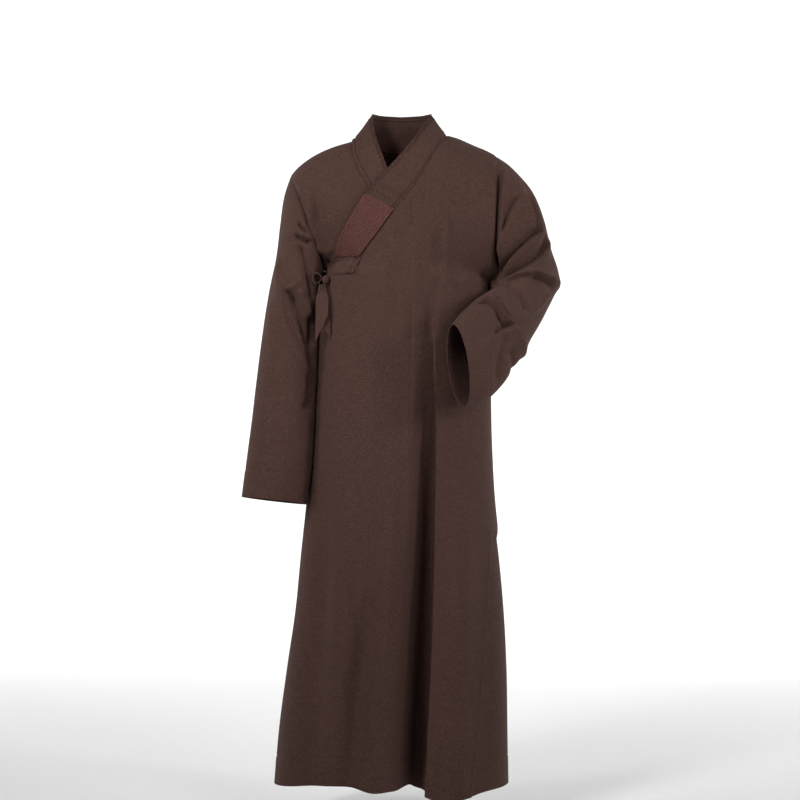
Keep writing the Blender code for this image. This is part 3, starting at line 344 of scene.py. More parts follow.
BACK_CREASES = [
    (0.0030, 0.010, 0.014, [(-0.150, 0.16), (-0.158, 0.30), (-0.150, 0.44)]),
    (-0.0030, 0.012, 0.014, [(0.140, 0.15), (0.150, 0.28), (0.148, 0.42)]),
    (0.0025, 0.012, 0.016, [(0.060, 0.36), (0.052, 0.60), (0.060, 0.86)]),
    (-0.0030, 0.012, 0.016, [(-0.080, 0.40), (-0.092, 0.62), (-0.088, 0.84)]),
]

# Sleeve creases: height, width on the left and on the right of the line, and the line
# as turn and section. Turn is 0 inside, 0.5 in front, 1 outside and 1.5 behind.
LEFT_CREASES = [
    (-0.0160, 0.0050, 0.0090, [(0.80, 0.20), (0.70, 0.28), (0.62, 0.24), (0.54, 0.19), (0.458, 0.15),
     (0.393, 0.15), (0.318, 0.20), (0.24, 0.27), (0.16, 0.34)]),
    (-0.0120, 0.0120, 0.0120, [(0.34, 0.30), (0.24, 0.38), (0.12, 0.42)]),
    (0.0060, 0.0120, 0.0120, [(0.72, 5.12), (0.86, 5.15), (1.00, 5.15), (1.18, 5.10)]),
    (0.0070, 0.0170, 0.0100, [(0.62, 7.66), (0.74, 7.48), (0.87, 7.36), (1.02, 7.30)]),
    (-0.0090, 0.0100, 0.0110, [(0.60, 8.25), (0.72, 8.05), (0.86, 7.92), (1.02, 7.85)]),
    (0.0052, 0.0060, 0.0060, [(0.812, 0.53), (0.695, 0.5), (0.6, 0.5), (0.485, 0.73), (0.338, 0.35)]),
    (-0.0104, 0.0060, 0.0040, [(0.748, 1.62), (0.647, 1.4), (0.578, 1.25), (0.497, 1.05), (0.455, 0.9)]),
    (0.0078, 0.0220, 0.0040, [(0.79, 1.7), (0.683, 1.6), (0.578, 1.4), (0.482, 1.25), (0.383, 0.85),
     (0.265, 0)]),
    (0.0078, 0.0040, 0.0220, [(0.788, 1.7), (0.735, 2.02), (0.698, 2.48), (0.647, 3.05)]),
    (-0.0117, 0.0090, 0.0060, [(0.81, 1.9), (0.782, 2.43), (0.755, 2.85), (0.685, 3.15)]),
    (-0.0156, 0.0035, 0.0080, [(0.765, 3.25), (0.64, 3.12), (0.485, 2.83), (0.39, 2.45), (0.3, 2.08),
     (0.168, 0.6)]),
    (0.0117, 0.0140, 0.0040, [(0.805, 3.25), (0.665, 3.38), (0.502, 3.25), (0.385, 3.05),
     (0.295, 2.95), (0.168, 3.23)]),
    (-0.0143, 0.0050, 0.0070, [(0.778, 3.48), (0.708, 3.83), (0.605, 4.1), (0.448, 4.23),
     (0.335, 4.28), (0.18, 4.17)]),
    (0.0078, 0.0120, 0.0050, [(0.843, 3.7), (0.617, 4.28), (0.423, 4.55), (0.247, 4.7), (0.12, 4.93)]),
    (0.0091, 0.0120, 0.0040, [(0.227, 5), (0.395, 4.95), (0.458, 4.88), (0.532, 5.05), (0.738, 5.2)]),
    (-0.0123, 0.0040, 0.0100, [(0.405, 5.08), (0.46, 5.18), (0.552, 5.28), (0.718, 5.38)]),
    (-0.0078, 0.0030, 0.0040, [(0.133, 5.3), (0.24, 5.18), (0.383, 5.05)]),
    (-0.0091, 0.0050, 0.0070, [(0.122, 6.12), (0.25, 6.33), (0.35, 6.55), (0.44, 6.78), (0.51, 6.88)]),
    (-0.0143, 0.0035, 0.0050, [(0.028, 9.15), (0.093, 8.85), (0.165, 8.47), (0.285, 8.28),
     (0.367, 8.3), (0.433, 8.1), (0.468, 7.83)]),
    (0.0091, 0.0060, 0.0035, [(0.057, 8.7), (0.143, 8.22), (0.24, 8.08), (0.36, 8.05), (0.46, 7.75)]),
    (-0.0078, 0.0035, 0.0035, [(0.113, 7.53), (0.245, 7.83), (0.338, 7.88), (0.438, 7.75)]),
    (-0.0104, 0.0035, 0.0050, [(0.468, 7.78), (0.435, 8.22), (0.42, 8.58), (0.42, 8.78), (0.438, 8.83)]),
    (0.0090, 0.0040, 0.0120, [(0.468, 7.78), (0.535, 7.73), (0.600, 7.67), (0.680, 7.57)]),
    (0.0065, 0.0060, 0.0080, [(0.46, 7.68), (0.485, 7.25), (0.548, 6.58), (0.623, 5.85), (0.695, 5.53)]),
    (-0.0078, 0.0140, 0.0120, [(0.48, 8.1), (0.542, 8.58), (0.62, 8.97), (0.755, 9.08)]),
    (-0.0130, 0.012, 0.010, [(1.70, 0.9), (1.45, 1.7), (1.24, 2.9)]),
    (0.0117, 0.010, 0.010, [(1.80, 2.2), (1.50, 2.9), (1.22, 3.7)]),
    (-0.0130, 0.009, 0.012, [(1.86, 3.6), (1.55, 4.1), (1.25, 4.6)]),
    (0.0091, 0.010, 0.010, [(1.84, 5.0), (1.55, 5.2), (1.30, 5.6)]),
    (-0.0104, 0.009, 0.009, [(1.88, 6.2), (1.60, 6.5), (1.30, 6.9)]),
]
RIGHT_CREASES = [
    (-0.0110, 0.0045, 0.0045, [(0.593, 0.98), (0.545, 0.90), (0.475, 0.62)]),
    (-0.0140, 0.0060, 0.0045, [(0.615, 1.68), (0.532, 1.40), (0.458, 1.05), (0.400, 0.70)]),
    (0.0060, 0.0045, 0.0045, [(0.568, 1.28), (0.492, 0.93), (0.423, 0.55)]),
    (-0.0143, 0.0090, 0.0130, [(0.55, 1.68), (0.48, 1.75), (0.39, 1.88), (0.32, 2.3), (0.25, 2.8)]),
    (0.0078, 0.0060, 0.0060, [(0.627, 3.53), (0.55, 3.25), (0.487, 2.93)]),
    (-0.0117, 0.0060, 0.0040, [(0.635, 3.6), (0.573, 3.58), (0.515, 3.62)]),
    (0.0111, 0.0050, 0.0200, [(0.84, 2.95), (0.79, 3.15), (0.688, 3.65), (0.62, 4.1), (0.542, 4.48),
     (0.445, 4.78), (0.355, 5.1), (0.293, 5.45)]),
    (-0.0175, 0.0190, 0.0050, [(0.585, 3.55), (0.512, 3.73), (0.41, 3.98), (0.33, 4.33), (0.25, 4.85),
     (0.212, 5.25)]),
    (0.0078, 0.0080, 0.0080, [(0.46, 3.03), (0.375, 3.28), (0.255, 3.38)]),
    (-0.0140, 0.0120, 0.0090, [(0.258, 3.35), (0.217, 3.83), (0.182, 4.4)]),
    (-0.0150, 0.0150, 0.0060, [(0.265, 5.33), (0.225, 5.58), (0.227, 6), (0.27, 6.48)]),
    (0.0055, 0.0220, 0.0220, [(0.80, 4.0), (0.768, 4.28), (0.667, 5.2), (0.617, 6.23)]),
    (-0.0117, 0.012, 0.010, [(1.75, 0.7), (1.50, 1.5), (1.36, 2.6)]),
    (0.0078, 0.010, 0.012, [(1.80, 2.0), (1.56, 2.7), (1.34, 3.6)]),
    (-0.0104, 0.010, 0.010, [(1.82, 3.4), (1.55, 3.9), (1.30, 4.5)]),
    (-0.0065, 0.014, 0.016, [(1.70, 5.4), (1.58, 6.8), (1.60, 8.8)]),
]
STILL_TURN = (0.03, 0.12)               # creases leave the inner edge of a sleeve in place

# Soft hollow along each armhole: depth, its share below a level, and its widths
ARMHOLE_DIP = {1: 0.003, -1: 0.009}
DIP_SHARE = {1: 0.60, -1: 1.0}
DIP_FULL = {1: 0.82, -1: 0.5}
DIP_SPREAD = 0.16
DIP_ENDS = (0.08, 0.10)
DIP_WIDTH = {"body": 0.005, "sleeve": 0.010}

# Collar: cross seams as stations at the seam and at the free edge, with their depths
CROSS_SEAMS = [
    (11.10, 11.60, -0.0022),
    (11.00, 11.50, 0.0026),
    (10.60, 11.15, -0.0020),
    (10.50, 11.05, 0.0024),
    (9.63, 10.28, -0.0012),
    (9.55, 10.20, 0.0026),
    (8.80, 9.55, 0.0018),
]
OUTER_EDGE_LINES = (0.0035, 0.0085)
OUTER_SEAM_LINES = (0.004, 0.009)
INNER_EDGE_LINES = (0.0035, 0.0085)
INNER_SEAM_LINES = (0.005, 0.0155)
PATCH_RIBS = 13
RIB_STEPS = 8
PATCH_ROWS = 61
PATCH_INSET = 0.04
PATCH_TOP = (11.35, 11.95)
PATCH_LOW = (14.78, 15.36)
PATCH_BOW = 0.12
PATCH_GAP = 0.0005
PATCH_THICK = 0.0006
RIB_HEIGHT = 0.0015
RIB_POWER = 0.55        # below 1 a rib is broad and its groove narrow
PATCH_EDGE_ROWS = (0, 0.006, 0.014, 0.03)       # closer rows at both ends
PATCH_END_ROUND = 0.02  # share of the length, and of the width, in which the edge is rounded
PATCH_SIDE_ROUND = 0.008
PATCH_EDGE = 0.03       # share of the thickness left at the very edge

# Tie
TIE_Y = -0.0702
TIE_KNOT = {"at": (-0.1610, TIE_Y, -0.3045), "size": (0.014, 0.015, 0.018)}
TIE_LOOP = {"at": (-0.1793, TIE_Y, -0.3010), "radius": (0.0110, 0.0125), "width": 0.011}
LOOP_TURN = 0.12
TIE_WALL = 0.0016
KNOT_WALL = 0.0015
KNOT_STEPS = (25, 48)   # points down and round
KNOT_WRAP = {"height": 0.10, "at": 1.5, "width": 0.35}  # at and width as angles down the knot
KNOT_FOLDS = ((0.05, 5, 3), (0.03, 9, -2))      # depth, number round, number down
KNOT_FLAT = 0.7         # below 1 the knot is boxier than a ball
KNOT_TIP = 0.08         # its ends are uneven by this share
LOOP_STEPS = (17, 96)
LOOP_PINCH = 0.30       # the loop is this much narrower where the knot holds it
LOOP_PINCH_WIDTH = 0.5
LOOP_WAVES = (0.05, 0.03)
LOOP_CURL = 0.10        # its edges bend in by this share
TAIL_STEPS = (61, 29)
TAIL_WIDENS = 0.4       # share of the length over which a tail reaches its full width
TAIL_GATHER = 0.0016
TAIL_GATHER_RUN = 0.35
TAIL_SWAY = 0.0022
TAIL_STITCH = (0.004, 0.0003, 0.0009)   # distance from the edge, depth, width
TAIL_LEAN = 0.018
TAIL_TOP_WIDTH = 0.55
TAILS = table("x y_top z_top width length slant lean", [
    (-0.1680, TIE_Y - 0.0045, -0.3139, 0.027, 0.094, -0.058, -0.001),
    (-0.1610, TIE_Y + 0.0010, -0.3139, 0.021, 0.100, 0.028, 0.000),
])

# Cloth surface
THREAD_PITCH = 0.0009
WAVE_SCALE = 0.314      # Blender's band waves repeat every 0.314 of their scale
THREAD_WAVE = {"Distortion": 0.6, "Detail": 1.0, "Detail Scale": 2.0}
YARN = {                # noise detail, and waves a metre along the weft and the warp
    "slub": (2.0, (240, 900)),
    "warp": (2.0, (900, 300)),
    "speck": (2.0, (420, 520)),
    "mottle": (3.0, (60, 95)),
    "blotch": (2.0, (9, 6)),
    "heather": (2.0, (300, 460)),
}
YARN_SHADES = {"mottle": 0.10, "blotch": 0.04, "heather": 0.28}  # lighter and darker by this
NOISE_RANGE = (0.3, 0.7)
GRAIN_SHARES = (0.55, 0.45)
GRAIN_RANGE = (0.36, 0.64, 0, 1)
GRAIN_RELIEF = 0.8
FLECK_RANGE = (0.58, 0.76, 0, 0.6)
# Thread relief painted into the colour: gaps between threads darker as painted shade, thread crossings
# lighter as painted light
THREAD_PAINTED_SHADE = (0.0, 1.0, 0.86, 1.10)
CLOTH_SURFACE = {
    "Roughness": 0.9,
    "Specular IOR Level": 0.16,
    "Sheen Weight": 0.05,
    "Sheen Roughness": 0.5,
    "Sheen Tint": (0.85, 0.62, 0.54, 1.0),
}

# Colours
CLOTH_DARK = (0.0360, 0.0170, 0.0129)
CLOTH_LIGHT = (0.0860, 0.0432, 0.0341)
CLOTH_FLECK = (0.1550, 0.0900, 0.0745)
PATCH_DARK = (0.058, 0.0205, 0.0175)
PATCH_LIGHT = (0.140, 0.0570, 0.0490)
PATCH_FLECK = (0.180, 0.0920, 0.0810)

# Studio
LENS = 94.2
SENSOR = 36
CAMERA_AT = (-0.004, -4.5, -0.559)
FLOOR_Z = -1.46
FLOOR_COLOUR = (0.88, 0.88, 0.88)
FLOOR_FRONT = -9.0
FLOOR_HALF_WIDTH = 11.0
COVE_Y = 4.4            # here the floor starts to bend up into the wall
COVE_BEND = 1.6
COVE_STEPS = 17
WALL_TOP = 7.0
WORLD_STRENGTH = 0.14
# Name, place, target, size, power, spread in degrees
LAMPS = [
    ("key", (-1.4, -2.1, 1.1), (0.0, 0.0, -0.40), (0.6, 0.6), 6.3, 60),
    ("fill", (1.8, -2.9, 0.6), (0.1, 0.0, -0.3), (1.1, 1.1), 6.6, 80),
    ("side_right", (-2.4, -1.3, 0.2), (-0.3, 0.0, -0.4), (0.5, 1.2), 3.2, 60),
    ("side_left", (2.4, -1.4, 0.2), (0.3, -0.1, -0.35), (0.5, 0.9), 3.4, 55),
    ("rim_right", (-2.2, 1.0, 0.1), (-0.2, 0.0, -0.6), (0.8, 2.2), 8, 180),
    ("rim_left", (2.2, 1.0, 0.1), (0.2, 0.0, -0.6), (0.8, 2.2), 12, 180),
    ("wall_right", (-3.4, 3.8, 1.6), (-0.6, 6.0, -0.6), (2.0, 2.4), 170, 180),
    ("wall_left", (3.4, 3.8, 1.6), (0.6, 6.0, -0.6), (2.0, 2.4), 170, 180),
]


def smooth_curve(at, knots, values):
    """Cubic curve through table values."""
    slopes = np.gradient(values, knots)
    at = np.clip(at, knots[0], knots[-1])
    i = np.clip(np.searchsorted(knots, at) - 1, 0, len(knots) - 2)
    span = knots[i + 1] - knots[i]
    t = (at - knots[i]) / span
    start = values[i] * (1 + 2 * t) * (1 - t) ** 2 + span * slopes[i] * t * (1 - t) ** 2
    end = values[i + 1] * t * t * (3 - 2 * t) - span * slopes[i + 1] * t * t * (1 - t)
    return start + end


def ease(t):
    """Smooth step from 0 to 1."""
    t = np.clip(t, 0.0, 1.0)
    return t * t * (3 - 2 * t)


def unit(vectors):
    """Vectors of length one."""
    return vectors / np.maximum(np.linalg.norm(vectors, axis=-1, keepdims=True), 1e-12)


def oval(phi):
    """Across (-1 right to 1 left) and outward (0 to 1) parts of the rounded section."""
    c = -np.cos(phi)
    s = np.sin(phi)
    return c * (1 + SQUARENESS * s * s), s * (1 + SQUARENESS * c * c)


def oval_angle(across):
    """Angle whose across part is the given one, by Newton's rule."""
    across = np.clip(across, -1, 1)
    c = across.copy()
    for _ in range(12):
        slope = 1 + SQUARENESS - 3 * SQUARENESS * c * c
        c = np.clip(c - (c * (1 + SQUARENESS) - SQUARENESS * c ** 3 - across) / slope, -1, 1)
    return np.arccos(-c)


def arch(across, power):
    """Arch from 0 at both ends to 1 in the middle, with open ends."""
    raised = (np.maximum(1 - across * across, 0) + ARCH_END) ** power
    return (raised - ARCH_END ** power) / ((1 + ARCH_END) ** power - ARCH_END ** power)


def hem_x(across):
    """x along the hem."""
    return HEM_MIDDLE + HEM_HALF_WIDTH * across


def hem_drop(x):
    """Drop of the hem."""
    return HEM - smooth_curve(x, HEM_RISES["x"], HEM_RISES["rise"])


def armhole_rise(level):
    """Share of the armhole's height reached at a level."""
    return (1 - np.cos(np.pi * np.clip(-level, 0, 1))) / 2


def drop_at(across, level):
    """Drop of a skirt point."""
    share = np.clip((1 + across) / 2, 0, 1)
    under = UNDERARM_RIGHT + (UNDERARM_LEFT - UNDERARM_RIGHT) * share
    return under + (hem_drop(hem_x(across)) - under) * np.clip(level, 0, 1)


def side_x(level, drop):
    """x of the right and left ends of a row."""
    right = smooth_curve(drop, SECTIONS["drop"], SECTIONS["right"])
    left = smooth_curve(drop, SECTIONS["drop"], SECTIONS["left"])
    rise = armhole_rise(level)
    right = right + (SHOULDER_RIGHT[0] - right) * rise ** SIDE_POWERS[0]
    left = left + (SHOULDER_LEFT[0] - left) * rise ** SIDE_POWERS[1]
    return right, left


def base_point(phi, level, half):
    """Body surface without folds. half is 1 for the front and -1 for the back."""
    across, outward = oval(phi)
    drop = drop_at(across, level)
    right, left = side_x(level, drop)
    x = (right + left) / 2 + (left - right) / 2 * across
    depths = {1: "front", -1: "back"}
    own = smooth_curve(drop, SECTIONS["drop"], SECTIONS[depths[half]])
    other = smooth_curve(drop, SECTIONS["drop"], SECTIONS[depths[-half]])
    depth = np.where(outward >= 0, own, other)
    t = np.clip(-level, 0, 1)
    rise = armhole_rise(level)
    end_depth = ARMHOLE_DEPTH * np.sin(np.pi * t)
    depth = depth * np.cos(np.pi * t / 2) ** CHEST_ROUND
    outward = outward + (arch(across, CHEST_FLAT) - outward) * ease(t / ARMPIT_LEVEL)
    y = -half * (end_depth + (depth - end_depth) * outward)
    shoulder = SHOULDER_RIGHT[1] + (SHOULDER_LEFT[1] - SHOULDER_RIGHT[1]) * (1 + across) / 2
    end_z = -drop + (shoulder + drop) * rise
    crown = CROWN + LEFT_RISE * ease(across / LEFT_RISE_RUN)
    middle_z = -drop + (crown + drop) * np.sin(np.pi * t / 2)
    z = np.where(level < 0, end_z + (middle_z - end_z) * arch(across, SHOULDER_FLAT), -drop)
    return np.stack([x, y, z], axis=-1)


def slopes(point, phi, level):
    """Numeric slopes of a surface along its angle and its level."""
    low = np.where(level < 0, np.maximum(phi - TINY, 0), phi - TINY)
    high = np.where(level < 0, np.minimum(phi + TINY, math.pi), phi + TINY)
    along = unit(point(high, level) - point(low, level))
    upper = np.maximum(level - TINY, -1 + 1e-9)
    down = unit(point(phi, level + TINY) - point(phi, upper))
    return along, down


def surface_normal(point, phi, level, half):
    """Outward unit normal of a body surface."""
    along, down = slopes(point, phi, level)
    return half * unit(np.cross(down, along))


def fold_height(x, drop, folds):
    """Sum of the soft folds at a point."""
    total = np.zeros_like(x)
    for i in range(len(folds["x_top"])):
        top = folds["drop_top"][i]
        low = folds["drop_low"][i]
        t = (drop - top) / (low - top)
        line = folds["x_top"][i] + (folds["x_low"][i] - folds["x_top"][i]) * t
        spread_out = FOLD_TOP_WIDTH + (1 - FOLD_TOP_WIDTH) * np.clip(t, 0, 1)
        width = folds["width"][i] * spread_out
        fade = ease(t / FOLD_FADE)
        if low < HEM:
            fade = fade * ease((1 - t) / FOLD_FADE)
        total = total + folds["height"][i] * fade * np.exp(-((x - line) / width) ** 2)
    return total


def recess_depth(x, drop):
    """Depth of the deep fold, soft on the right and steep on the left."""
    soft = smooth_curve(drop, RECESS["drop"], RECESS["soft"])
    edge = smooth_curve(drop, RECESS["drop"], RECESS["edge"])
    depth = smooth_curve(drop, RECESS["drop"], RECESS["depth"])
    entry = ease((x - soft) / ((edge - soft) * RECESS_SOFT_SHARE))
    rise = ease((edge - x) / RECESS_WALL)
    return depth * entry * rise


def outer_front(phi, level):
    """Outer face of the left front and the overlap."""
    base = base_point(phi, level, 1)
    x = base[..., 0]
    drop = -base[..., 2]
    height = fold_height(x, drop, FRONT_FOLDS) - recess_depth(x, drop)
    height = height + LAP * ease((OVERLAP_X - x) / OVERLAP_RUN)
    return base + height[..., None] * surface_normal(
        lambda a, b: base_point(a, b, 1), phi, level, 1)


def inner_front(phi, level):
    """Outer face of the right front, under the overlap."""
    base = base_point(phi, level, 1)
    height = fold_height(base[..., 0], -base[..., 2], FRONT_FOLDS)
    return base + height[..., None] * surface_normal(
        lambda a, b: base_point(a, b, 1), phi, level, 1)


def back(phi, level):
    """Outer face of the back."""
    base = base_point(phi, level, -1)
    drop = -base[..., 2]
    height = fold_height(base[..., 0], drop, BACK_FOLDS) * ease(np.sin(phi) / SIDE_FADE)
    tuck = ease((drop - TUCK_START) / TUCK_RUN)
    height = height - SLIT_TUCK * tuck * ease((np.abs(np.cos(phi)) - TUCK_ACROSS) / TUCK_FADE)
    height = height + fold_height(base[..., 0], drop, FRONT_FOLDS) * (np.sin(phi) < 0)
    return base + height[..., None] * surface_normal(
        lambda a, b: base_point(a, b, -1), phi, level, -1)


def angle_at(x, level):
    """Angle of a point with the given x on the row of a level."""
    x = np.asarray(x, dtype=float) + np.zeros_like(level)
    share = np.clip((x + 0.2) / 0.4, 0, 1)
    across = 2 * share - 1
    for _ in range(4):
        drop = drop_at(across, level)
        right, left = side_x(level, drop)
        across = np.clip((2 * x - right - left) / (left - right), -1, 1)
    return oval_angle(across)


def level_at(x, z):
    """Level of the front surface at x and z."""
    low = np.full(np.shape(x), -1.0)
    high = np.full(np.shape(x), 1.0)
    for _ in range(34):
        middle = (low + high) / 2
        above = base_point(angle_at(x, middle), middle, 1)[..., 2] > z
        low = np.where(above, middle, low)
        high = np.where(above, high, middle)
    return (low + high) / 2


def drops_of(level):
    """Nominal drops of levels."""
    return UNDERARM + (HEM - UNDERARM) * np.maximum(level, 0)


def low_share(level):
    """How far a column has left its place at the seam for its place in the skirt."""
    return ease((level - SEAM_LEVEL) / SKIRT_RUN)


def column_x(x_top, x_low, level):
    """x of a column: its seam x at the top, a fold's line in the skirt."""
    return x_top + (x_low - x_top) * low_share(level)


def seam_tops(x, seam):
    """Levels where columns meet a collar seam."""
    x = np.array(x)
    order = np.argsort(seam["x"])
    return level_at(x, np.interp(x, seam["x"][order], seam["z"][order]))


def left_side_angle(level):
    """Left edge of the front: the side seam, then the free edge of the slit."""
    drop = drops_of(level)
    edge = angle_at(smooth_curve(drop, SLIT_EDGE["drop"], SLIT_EDGE["x"]), level)
    return math.pi - (math.pi - edge) * ease((drop - SLIT) / SLIT_EASE)


def nape_level(x, neck):
    """Level of the back neckline."""
    return -1 + NAPE_DIP * np.sqrt(np.maximum(1 - (x / neck) ** 2, 0))


def back_left_side(level):
    """Left edge of the back, which laps under the front below the slit."""
    drop = drops_of(level)
    edge = smooth_curve(drop, SLIT_EDGE["drop"], SLIT_EDGE["x"]) - SLIT_LAP
    lap = math.pi - angle_at(edge, level)
    return math.pi + lap * ease((drop - LAP_START) / LAP_RUN)


def back_right_side(level):
    """Right edge of the back, which laps under the front below the slit."""
    return -SLIT_LAP_ANGLE * ease((drops_of(level) - LAP_START) / LAP_RUN)


def armhole(turn, side):
    """Armhole edge and its outward-pointing normal. Turn is 0 below, 0.5 front, 1 top."""
    level = -np.where(turn <= 1, turn, 2 - turn)
    phi = np.full(np.shape(turn), {1: math.pi, -1: 0.0}[side])
    in_front = {1: outer_front, -1: inner_front}[side]
    front_point = in_front(phi, level)
    back_point = back(phi, level)
    front_normal = surface_normal(in_front, phi, level, 1)
    back_normal = surface_normal(back, phi, level, -1)
    shared = np.minimum(np.abs(level), 1 + level) < 1e-6
    front = (turn <= 1)[..., None]
    normal = np.where(front, front_normal, back_normal)
    normal = np.where(shared[..., None], unit(front_normal + back_normal), normal)
    return np.where(front, front_point, back_point), normal


def sleeve_section(turn, along, sections, side):
    """Plain sleeve form."""
    knots = np.arange(len(sections["depth"]), dtype=float)

    def ends(at):
        inner = [smooth_curve(at, knots, sections[axis + "_in"]) for axis in "xyz"]
        outer = [smooth_curve(at, knots, sections[axis + "_out"]) for axis in "xyz"]
        return np.stack(inner, axis=-1), np.stack(outer, axis=-1)

    inner, outer = ends(along)
    before = sum(ends(np.maximum(along - 0.5, 0)))
    after = sum(ends(np.minimum(along + 0.5, knots[-1])))
    forward = side * unit(np.cross(after - before, outer - inner))
    angle = math.pi * turn
    depth = smooth_curve(along, knots, sections["depth"])
    point = (inner + outer) / 2 - (outer - inner) / 2 * np.cos(angle)[..., None]
    return point + forward * (depth * np.sin(angle))[..., None]


# ---------------------------------------------------------------- creases

def near_line(points, path, sideways):
    """For each point: distance to a line, signed side of it and share of the line's length."""
    run = np.diff(path, axis=0)
    length = np.linalg.norm(run, axis=1)
    done = np.concatenate([[0], np.cumsum(length)])
    best = np.full(points.shape[:-1], np.inf)
    side = np.zeros(points.shape[:-1])
    place = np.zeros(points.shape[:-1])
    for k in range(len(run)):
        off = points - path[k]
        t = np.clip(off @ run[k] / length[k] ** 2, 0, 1)
        away = np.linalg.norm(off - t[..., None] * run[k], axis=-1)
        nearer = away < best
        best = np.where(nearer, away, best)
        side = np.where(nearer, sideways(off, run[k]), side)
        place = np.where(nearer, (done[k] + t * length[k]) / done[-1], place)
    return best, side, place


def crease_shape(height, width, best, place, open_share):
    """Trough or ridge of one line, which fades out at both ends."""
    taper = ease(place / END_TAPER + open_share) * ease((1 - place) / END_TAPER + open_share)
    return height * taper * np.exp(-(best / width) ** CREASE_POWER)


def body_creases(x, drop, creases):
    """Sum of the soft troughs and ridges of a body panel."""
    total = np.zeros_like(x)
    here = np.stack([x, drop], axis=-1)
    for height, left_width, right_width, line in creases:
        path = np.array(line, dtype=float)
        step = np.linalg.norm(np.diff(path, axis=0), axis=1).mean()
        best, side, place = near_line(
            here, path, lambda off, run: off[..., 0] * run[1] - off[..., 1] * run[0])
        width = left_width + (right_width - left_width) * ease(side / (left_width * step) + 0.5)
        total = total + crease_shape(height, width, best, place, BODY_OPEN_END)
    return total


def sleeve_creases(grid, normal, creases, form):
    """Sum of the creases of a sleeve, measured in space from lines on its plain form."""
    total = np.zeros(grid.shape[:2])
    for height, left_width, right_width, line in creases:
        line = np.array(line, dtype=float)
        knots = np.arange(len(line), dtype=float)
        fine = np.linspace(0, knots[-1], CREASE_STEPS * (len(line) - 1) + 1)
        path = form(smooth_curve(fine, knots, line[:, 0]), smooth_curve(fine, knots, line[:, 1]))
        best, side, place = near_line(
            grid, path, lambda off, run: np.sum(np.cross(normal, unit(run)) * off, axis=-1))
        lean = ease(side / (left_width + right_width) + 0.5)
        width = right_width + (left_width - right_width) * lean
        total = total + crease_shape(height, width, best, place, SLEEVE_OPEN_END)
    return total


def armhole_dip(turn, side):
    """Depth of the hollow along an armhole, from the underarm (0) to the shoulder (1)."""
    full = np.exp(-((turn - DIP_FULL[side]) / DIP_SPREAD) ** 2)
    share = DIP_SHARE[side] + (1 - DIP_SHARE[side]) * full
    ends = ease(turn / DIP_ENDS[0]) * ease((1 - turn) / DIP_ENDS[1])
    return ARMHOLE_DIP[side] * share * ends


# ---------------------------------------------------------------- meshes

def positions(last, fine, near_start=(), near_end=()):
    """Fine positions from 0 to last, with some more near the ends."""
    even = np.linspace(0, last, last * fine + 1)
    return np.unique(np.concatenate([even, near_start, last - np.array(near_end)]))


def grid_normals(grid, ring=False):
    """Unit normals of a grid. They point to the side that columns turned over rows give."""
    down = np.gradient(grid, axis=0)
    if ring:
        across = np.roll(grid, -1, axis=1) - np.roll(grid, 1, axis=1)
    else:
        across = np.gradient(grid, axis=1)
    return unit(np.cross(down, across))


def from_edge(grid, edge):
    """Distance of each point from one border, along the grid."""
    if edge in ("top", "low"):
        step = np.linalg.norm(np.diff(grid, axis=0), axis=-1)
        far = np.concatenate([np.zeros((1, grid.shape[1])), np.cumsum(step, axis=0)])
        return far if edge == "top" else far[-1] - far
    step = np.linalg.norm(np.diff(grid, axis=1), axis=-1)
    far = np.concatenate([np.zeros((grid.shape[0], 1)), np.cumsum(step, axis=1)], axis=1)
    return far if edge == "start" else far[:, -1:] - far


def groove(away, at, depth, width):
    """Narrow trough at a distance from an edge."""
    return -depth * np.exp(-((away - at) / width) ** 2)


def cloth_mesh(name, outer, normal, thickness, material_made, ring=False):
    """Closed shell between a grid and the same grid moved in, with weave coordinates."""
    rows, cols = outer.shape[:2]
    inner = outer - thickness * normal
    size = rows * cols
    points = np.concatenate([outer.reshape(-1, 3), inner.reshape(-1, 3)])
    row = np.arange(rows - 1)[:, None] * cols
    column = np.arange(cols if ring else cols - 1)[None, :]
    after = (column + 1) % cols
    quads = np.stack(np.broadcast_arrays(row + column, row + cols + column,
                                         row + cols + after, row + after), axis=-1).reshape(-1, 4)
    column, after = column[0], after[0]
    last = (rows - 1) * cols
    top = np.stack([column, after, size + after, size + column], axis=-1)
    low = np.stack([last + after, last + column, size + last + column, size + last + after], axis=-1)
    faces = [quads, size + quads[:, ::-1], top, low]
    if not ring:
        row = row[:, 0]
        end = row + cols - 1
        faces.append(np.stack([row + cols, row, size + row, size + row + cols], axis=-1))
        faces.append(np.stack([end, end + cols, size + end + cols, size + end], axis=-1))
    faces = np.concatenate(faces)
    mesh = bpy.data.meshes.new(name)
    mesh.from_pydata(points.tolist(), [], faces.tolist())
    mesh.validate()
    shape = bmesh.new()
    shape.from_mesh(mesh)
    bmesh.ops.recalc_face_normals(shape, faces=shape.faces)
    shape.to_mesh(mesh)
    shape.free()
    place = np.concatenate([weave_places(outer).reshape(-1, 2)] * 2)
    layer = mesh.uv_layers.new(name="weave")
    corners = np.zeros(len(mesh.loops), dtype=np.int32)
    mesh.loops.foreach_get("vertex_index", corners)
    layer.data.foreach_set("uv", place[corners].astype(np.float32).ravel())
    mesh.shade_smooth()
    mesh.set_sharp_from_angle(angle=math.radians(RIM_ANGLE))
    mesh.materials.append(material_made)
    made = bpy.data.objects.new(name, mesh)
    bpy.context.scene.collection.objects.link(made)
    return made


def weave_places(grid):
    """Places along the weft and the warp, in metres."""
    across = from_edge(grid, "start")
    across = across - across[:, across.shape[1] // 2][:, None]
    down = from_edge(grid, "top")
    return np.stack([across, down], axis=-1)


# ---------------------------------------------------------------- body panels

def row_levels(rows):
    """Levels of coarse rows: chest rows above the underarm, skirt rows below it."""
    chest = rows / ROWS_CHEST - 1
    skirt = (rows - ROWS_CHEST) / ROWS_SKIRT
    return np.where(rows < ROWS_CHEST, chest, skirt)


